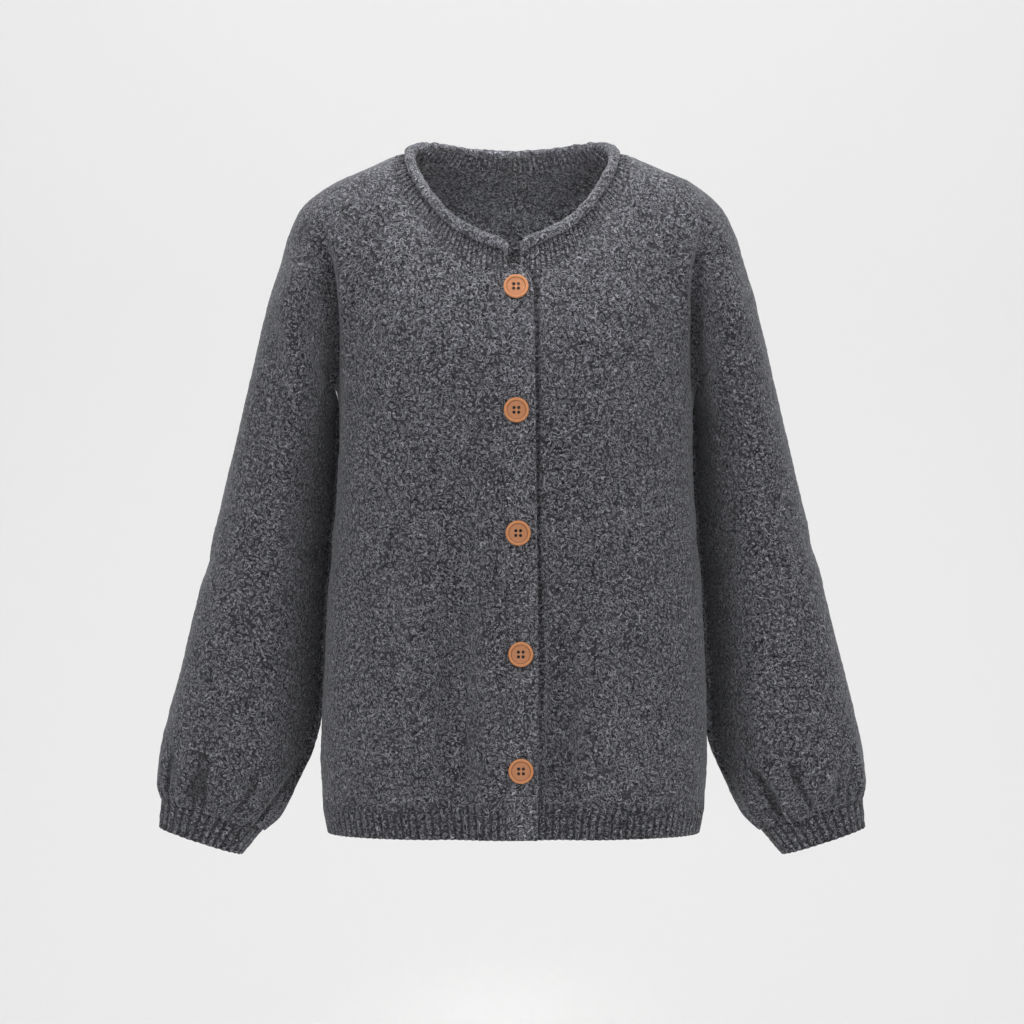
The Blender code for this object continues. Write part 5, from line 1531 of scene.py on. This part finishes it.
class ButtonSettings(bpy.types.PropertyGroup):
    """Turned wooden buttons."""

    diameter: FloatProperty(
        name="Diameter", description="Width of a button", default=BUTTON_D * MM,
        min=0.01, max=0.04, unit="LENGTH")
    sides: IntProperty(
        name="Sides", description="Straight sides round a button", default=72, min=24, max=128)
    # The rim's colour is the dish's wood painted lighter, as a highlight.
    rim_highlight_colour: FloatVectorProperty(
        name="Rim", description="Light wood of the rounded rim", subtype="COLOR", size=3,
        default=(0.50, 0.205, 0.075), min=0.0, max=1.0)
    dish_colour: FloatVectorProperty(
        name="Dish", description="Wood of the hollowed middle", subtype="COLOR", size=3,
        default=(0.385, 0.160, 0.066), min=0.0, max=1.0)
    grain_colour: FloatVectorProperty(
        name="Grain", description="Dark lines of the grain", subtype="COLOR", size=3,
        default=(0.23, 0.085, 0.033), min=0.0, max=1.0)
    # Painted shade in the turned groove.
    groove_shade_colour: FloatVectorProperty(
        name="Groove", description="Wood in the turned groove", subtype="COLOR", size=3,
        default=(0.13, 0.045, 0.02), min=0.0, max=1.0)


class StageSettings(bpy.types.PropertyGroup):
    """Floor, backdrop, light and camera."""

    floor_height: FloatProperty(
        name="Floor", description="Height of the floor, a standing wearer's height below the neck",
        default=-1.42, unit="LENGTH")
    light_power: FloatProperty(
        name="Light", description="Strength of the large soft lights", default=1.0, min=0.0)
    camera_height: FloatProperty(
        name="Camera height", description="Height of the camera, level with the garment's middle",
        default=-0.31924, unit="LENGTH")
    camera_distance: FloatProperty(
        name="Camera distance", description="From the camera to the garment", default=3.5,
        unit="LENGTH")
    field_width: FloatProperty(
        name="Field width", description="Width that the camera sees at the garment",
        default=0.94208, unit="LENGTH")


# ---------------------------------------------------------------- operators


class CARDIGAN_OT_fronts(bpy.types.Operator):
    """Knit the two fronts"""

    bl_idname = "cardigan.fronts"
    bl_label = "Fronts"

    def execute(self, context):
        spacing = context.scene.cardigan_knit.grid_spacing / MM
        for side, name in ((-1, "front_right"), (1, "front_left")):
            grid = panels()[name]
            at_neck = np.arange(grid.shape[1]) < NECK_COLUMNS_FRONT
            top = np.where(at_neck, NECK_DRAW_FRONT, SHOULDER_DRAW)
            grid = inset(grid, {"bottom": SEAM_DRAW, "top": top + SIDE_EXTRA, "left": SEAM_DRAW,
                                "right": side_amounts() + SIDE_EXTRA})
            fine = refined(grid, spacing, corner=(len(ROWS_LOW) - 1, (-1,)))
            panel_piece(name, front_shape(fine, side))
        return {"FINISHED"}


class CARDIGAN_OT_back(bpy.types.Operator):
    """Knit the back"""

    bl_idname = "cardigan.back"
    bl_label = "Back"

    def execute(self, context):
        left, right = panels()["back"]
        middle = (left[:, :1] + right[:, :1]) / 2
        grid = np.concatenate([left[:, :0:-1], middle, right[:, 1:]], axis=1)
        across = np.abs(np.arange(grid.shape[1]) - grid.shape[1] // 2)
        top = np.where(across < NECK_COLUMNS_BACK, NECK_DRAW_BACK, SHOULDER_DRAW)
        sides = side_amounts() + SIDE_EXTRA
        grid = inset(grid, {"bottom": SEAM_DRAW, "top": top + SIDE_EXTRA, "left": sides,
                            "right": sides})
        spacing = context.scene.cardigan_knit.back_spacing / MM
        panel_piece("back", refined(grid, spacing, corner=(len(ROWS_LOW) - 1, (0, -1))))
        return {"FINISHED"}


class CARDIGAN_OT_sleeves(bpy.types.Operator):
    """Knit the two sleeves, gathered in to the cuffs"""

    bl_idname = "cardigan.sleeves"
    bl_label = "Sleeves"

    def execute(self, context):
        spacing = context.scene.cardigan_knit.grid_spacing / MM
        half = armhole_amounts()
        ring = np.concatenate([half[::-1], half[1:]])
        for side, name in ((-1, "sleeve_right"), (1, "sleeve_left")):
            grid = sleeve_grid(side)
            closed = np.concatenate([grid, grid[:, :1]], axis=1)
            grid = inset(closed, {"bottom": ring + SIDE_EXTRA})[:, :-1]
            fine = refined(grid, spacing, closed=True)
            fine[..., 1] += crevice_drop(fine, side)
            plain = fine.copy()
            fine[..., 1] += fold_drop(fine)
            normal = grid_normals(fine, from_ring, closed=True)
            out = drape(fine, normal, 2 if side < 0 else 6)
            turn = np.arange(fine.shape[1]) / fine.shape[1]
            down = np.linspace(0, 1, fine.shape[0])[:, None]
            gathered = gathers(turn, down, side)
            out = out * (1 - 0.5 * smoothstep((down - 0.9) / 0.08)) + gathered
            outer = fine + normal * (WALL / 2 + out)[..., None]
            inner = inner_wall(plain, from_ring, out, closed=True)
            # The gathers' valleys are painted in shade.
            knit_piece(name, outer, inner, plain_knit(), closed=True,
                       ribs=np.clip(-GATHER_SHADE * gathered, 0, 0.8), round_by=SEAM_ROUND)
        return {"FINISHED"}


class CARDIGAN_OT_ribs(bpy.types.Operator):
    """Knit the ribbed hem and cuffs"""

    bl_idname = "cardigan.ribs"
    bl_label = "Hem and cuffs"

    def execute(self, context):
        for name in ("hem_front_right", "hem_front_left", "hem_back"):
            grid = hem_lines(name)
            count = rib_count(grid[-1], HEM_RIB)
            grid = inset(grid, {"left": SEAM_DRAW, "right": SEAM_DRAW, "top": SEAM_EXTRA})
            ribbed_piece(name, grid, count)
        for side, name in ((-1, "cuff_right"), (1, "cuff_left")):
            ribbed_piece(name, cuff_grid(side), CUFF_COLUMNS // 2, closed=True, outward=from_ring)
        return {"FINISHED"}


class CARDIGAN_OT_bands(bpy.types.Operator):
    """Knit the two front bands"""

    bl_idname = "cardigan.bands"
    bl_label = "Front bands"

    def execute(self, context):
        for name in ("band_over", "band_under"):
            fine = refined(band_grid(name), 1.3)
            normal = grid_normals(fine, lambda p: p * (0, 1, 0))
            out = uneven(fine, BAND_LUMPS)
            if name == "band_under":  # it lies back behind the over band's rounded corner
                drop = smoothstep((fine[..., 2] + 130) / 18) * smoothstep((fine[..., 0] - 4) / 8)
                fine[..., 1] += UNDER_DROP * drop
            else:
                out = over_edge(fine, out)
            outer = fine + normal * (BAND_WALL / 2 + out)[..., None]
            inner = (fine - normal * (BAND_WALL / 2))[::INNER_STEP, ::INNER_STEP]
            knit_piece(name, outer, inner, band_knit(), round_by=BAND_ROUND)
        return {"FINISHED"}


class CARDIGAN_OT_neck(bpy.types.Operator):
    """Knit the ribbed neckband and its rolled edge"""

    bl_idname = "cardigan.neck"
    bl_label = "Neckband"

    def execute(self, context):
        foot, edge, out, up, count = neck_frame()
        t = np.linspace(0, 1, 4)[:, None, None]
        grid = foot * (1 - t) + (edge - up * NECK_TOP_GAP) * t
        ribbed_piece("neckband", grid, count, spacing=1.3, inner_ribs=True, crest=NECK_CREST,
                     seed=9)
        angles = np.radians(np.linspace(CURL_FROM, CURL_TO, CURL_POINTS))[:, None, None]
        curl = edge + (out * (np.cos(angles) + 1) + up * np.sin(angles)) * ROLL_RADIUS
        fine = refined(curl, 1.15)
        normal = grid_normals(fine, from_roll)
        relief = uneven(fine, ROLL_LUMPS) + ROLL_FULLNESS
        outer = fine + normal * (ROLL_WALL / 2 + relief)[..., None]
        inner = (fine - normal * ROLL_WALL / 2)[::INNER_STEP, ::INNER_STEP]
        knit_piece("neck_roll", outer, inner, band_knit())
        return {"FINISHED"}


class CARDIGAN_OT_buttons(bpy.types.Operator):
    """Turn the wooden buttons"""

    bl_idname = "cardigan.buttons"
    bl_label = "Buttons"

    def execute(self, context):
        for number in range(1, len(BUTTONS) + 1):
            turn_button(f"button_{number}", context.scene.cardigan_buttons)
        return {"FINISHED"}


class CARDIGAN_OT_stage(bpy.types.Operator):
    """Add the floor, backdrop, lights and camera"""

    bl_idname = "cardigan.stage"
    bl_label = "Stage"

    def execute(self, context):
        settings = context.scene.cardigan_stage
        bpy.ops.object.select_all(action="DESELECT")
        bpy.ops.mesh.primitive_plane_add(size=1, location=(0, -1.0, settings.floor_height))
        floor = context.object
        floor.name = "floor_and_backdrop"
        floor.scale = (*FLOOR_SIZE, 1)
        bpy.ops.object.transform_apply(location=True, rotation=False, scale=True)
        bpy.ops.object.mode_set(mode="EDIT")
        bpy.ops.mesh.select_all(action="DESELECT")
        bpy.ops.object.mode_set(mode="OBJECT")
        for side in floor.data.edges:
            side.select = all(floor.data.vertices[v].co.y > 4 for v in side.vertices)
        bpy.ops.object.mode_set(mode="EDIT")
        bpy.ops.mesh.select_mode(type="EDGE")
        bpy.ops.mesh.extrude_region_move(TRANSFORM_OT_translate={"value": (0, 0, BACKDROP)})
        bpy.ops.object.mode_set(mode="OBJECT")
        bevel = floor.modifiers.new("Cove", "BEVEL")
        bevel.width, bevel.segments, bevel.limit_method = COVE, 16, "ANGLE"
        bpy.ops.object.modifier_apply(modifier="Cove")
        bpy.ops.object.shade_smooth()
        floor.data.materials.append(plain_material("pale_paper", (0.80, 0.80, 0.80), 0.95))
        world = bpy.data.worlds.new("soft_room")
        world.use_nodes = True
        sky = world.node_tree.nodes["Background"]
        sky.inputs["Color"].default_value = (1.0, 0.995, 0.995, 1)
        sky.inputs["Strength"].default_value = 0.50
        context.scene.world = world
        for name, place_at, target, size, power, spread in LIGHTS:
            bpy.ops.object.light_add(type="AREA", location=place_at)
            light = context.object
            light.name = name
            light.data.shape, light.data.size = "SQUARE", size
            light.data.energy = power * settings.light_power
            light.data.spread = math.radians(spread)
            aim = Vector(target) - light.location
            light.rotation_euler = aim.to_track_quat("-Z", "Y").to_euler()
        bpy.ops.object.camera_add(
            location=(0, -settings.camera_distance, settings.camera_height),
            rotation=(math.pi / 2, 0, 0))
        camera = context.object
        camera.data.sensor_width = 36.0
        camera.data.lens = 36.0 * settings.camera_distance / settings.field_width
        context.scene.camera = camera
        context.scene.view_settings.view_transform = "Standard"
        return {"FINISHED"}


class CARDIGAN_PT_panel(bpy.types.Panel):
    """Settings and steps of the cardigan"""

    bl_idname = "CARDIGAN_PT_panel"
    bl_label = "Button cardigan"
    bl_space_type = "VIEW_3D"
    bl_region_type = "UI"
    bl_category = "Cardigan"

    def draw(self, context):
        for group in ("cardigan_knit", "cardigan_buttons", "cardigan_stage"):
            box = self.layout.box()
            settings = getattr(context.scene, group)
            for name in type(settings).__annotations__:
                box.prop(settings, name)
        for step in STEPS:
            self.layout.operator(step.bl_idname)


STEPS = (CARDIGAN_OT_fronts, CARDIGAN_OT_back, CARDIGAN_OT_sleeves, CARDIGAN_OT_ribs,
         CARDIGAN_OT_bands, CARDIGAN_OT_neck, CARDIGAN_OT_buttons, CARDIGAN_OT_stage)
SETTINGS = (("cardigan_knit", KnitSettings), ("cardigan_buttons", ButtonSettings),
            ("cardigan_stage", StageSettings))


def register():
    """Adds the settings, operators and panel."""
    for name, group in SETTINGS:
        bpy.utils.register_class(group)
        setattr(bpy.types.Scene, name, PointerProperty(type=group))
    for cls in (*STEPS, CARDIGAN_PT_panel):
        bpy.utils.register_class(cls)


def unregister():
    """Takes them away again."""
    for cls in (CARDIGAN_PT_panel, *reversed(STEPS)):
        bpy.utils.unregister_class(cls)
    for name, group in reversed(SETTINGS):
        delattr(bpy.types.Scene, name)
        bpy.utils.unregister_class(group)


def main():
    """Runs the steps in order."""
    register()
    for step in STEPS:
        group, name = step.bl_idname.split(".")
        getattr(getattr(bpy.ops, group), name)()


if __name__ == "__main__":
    main()
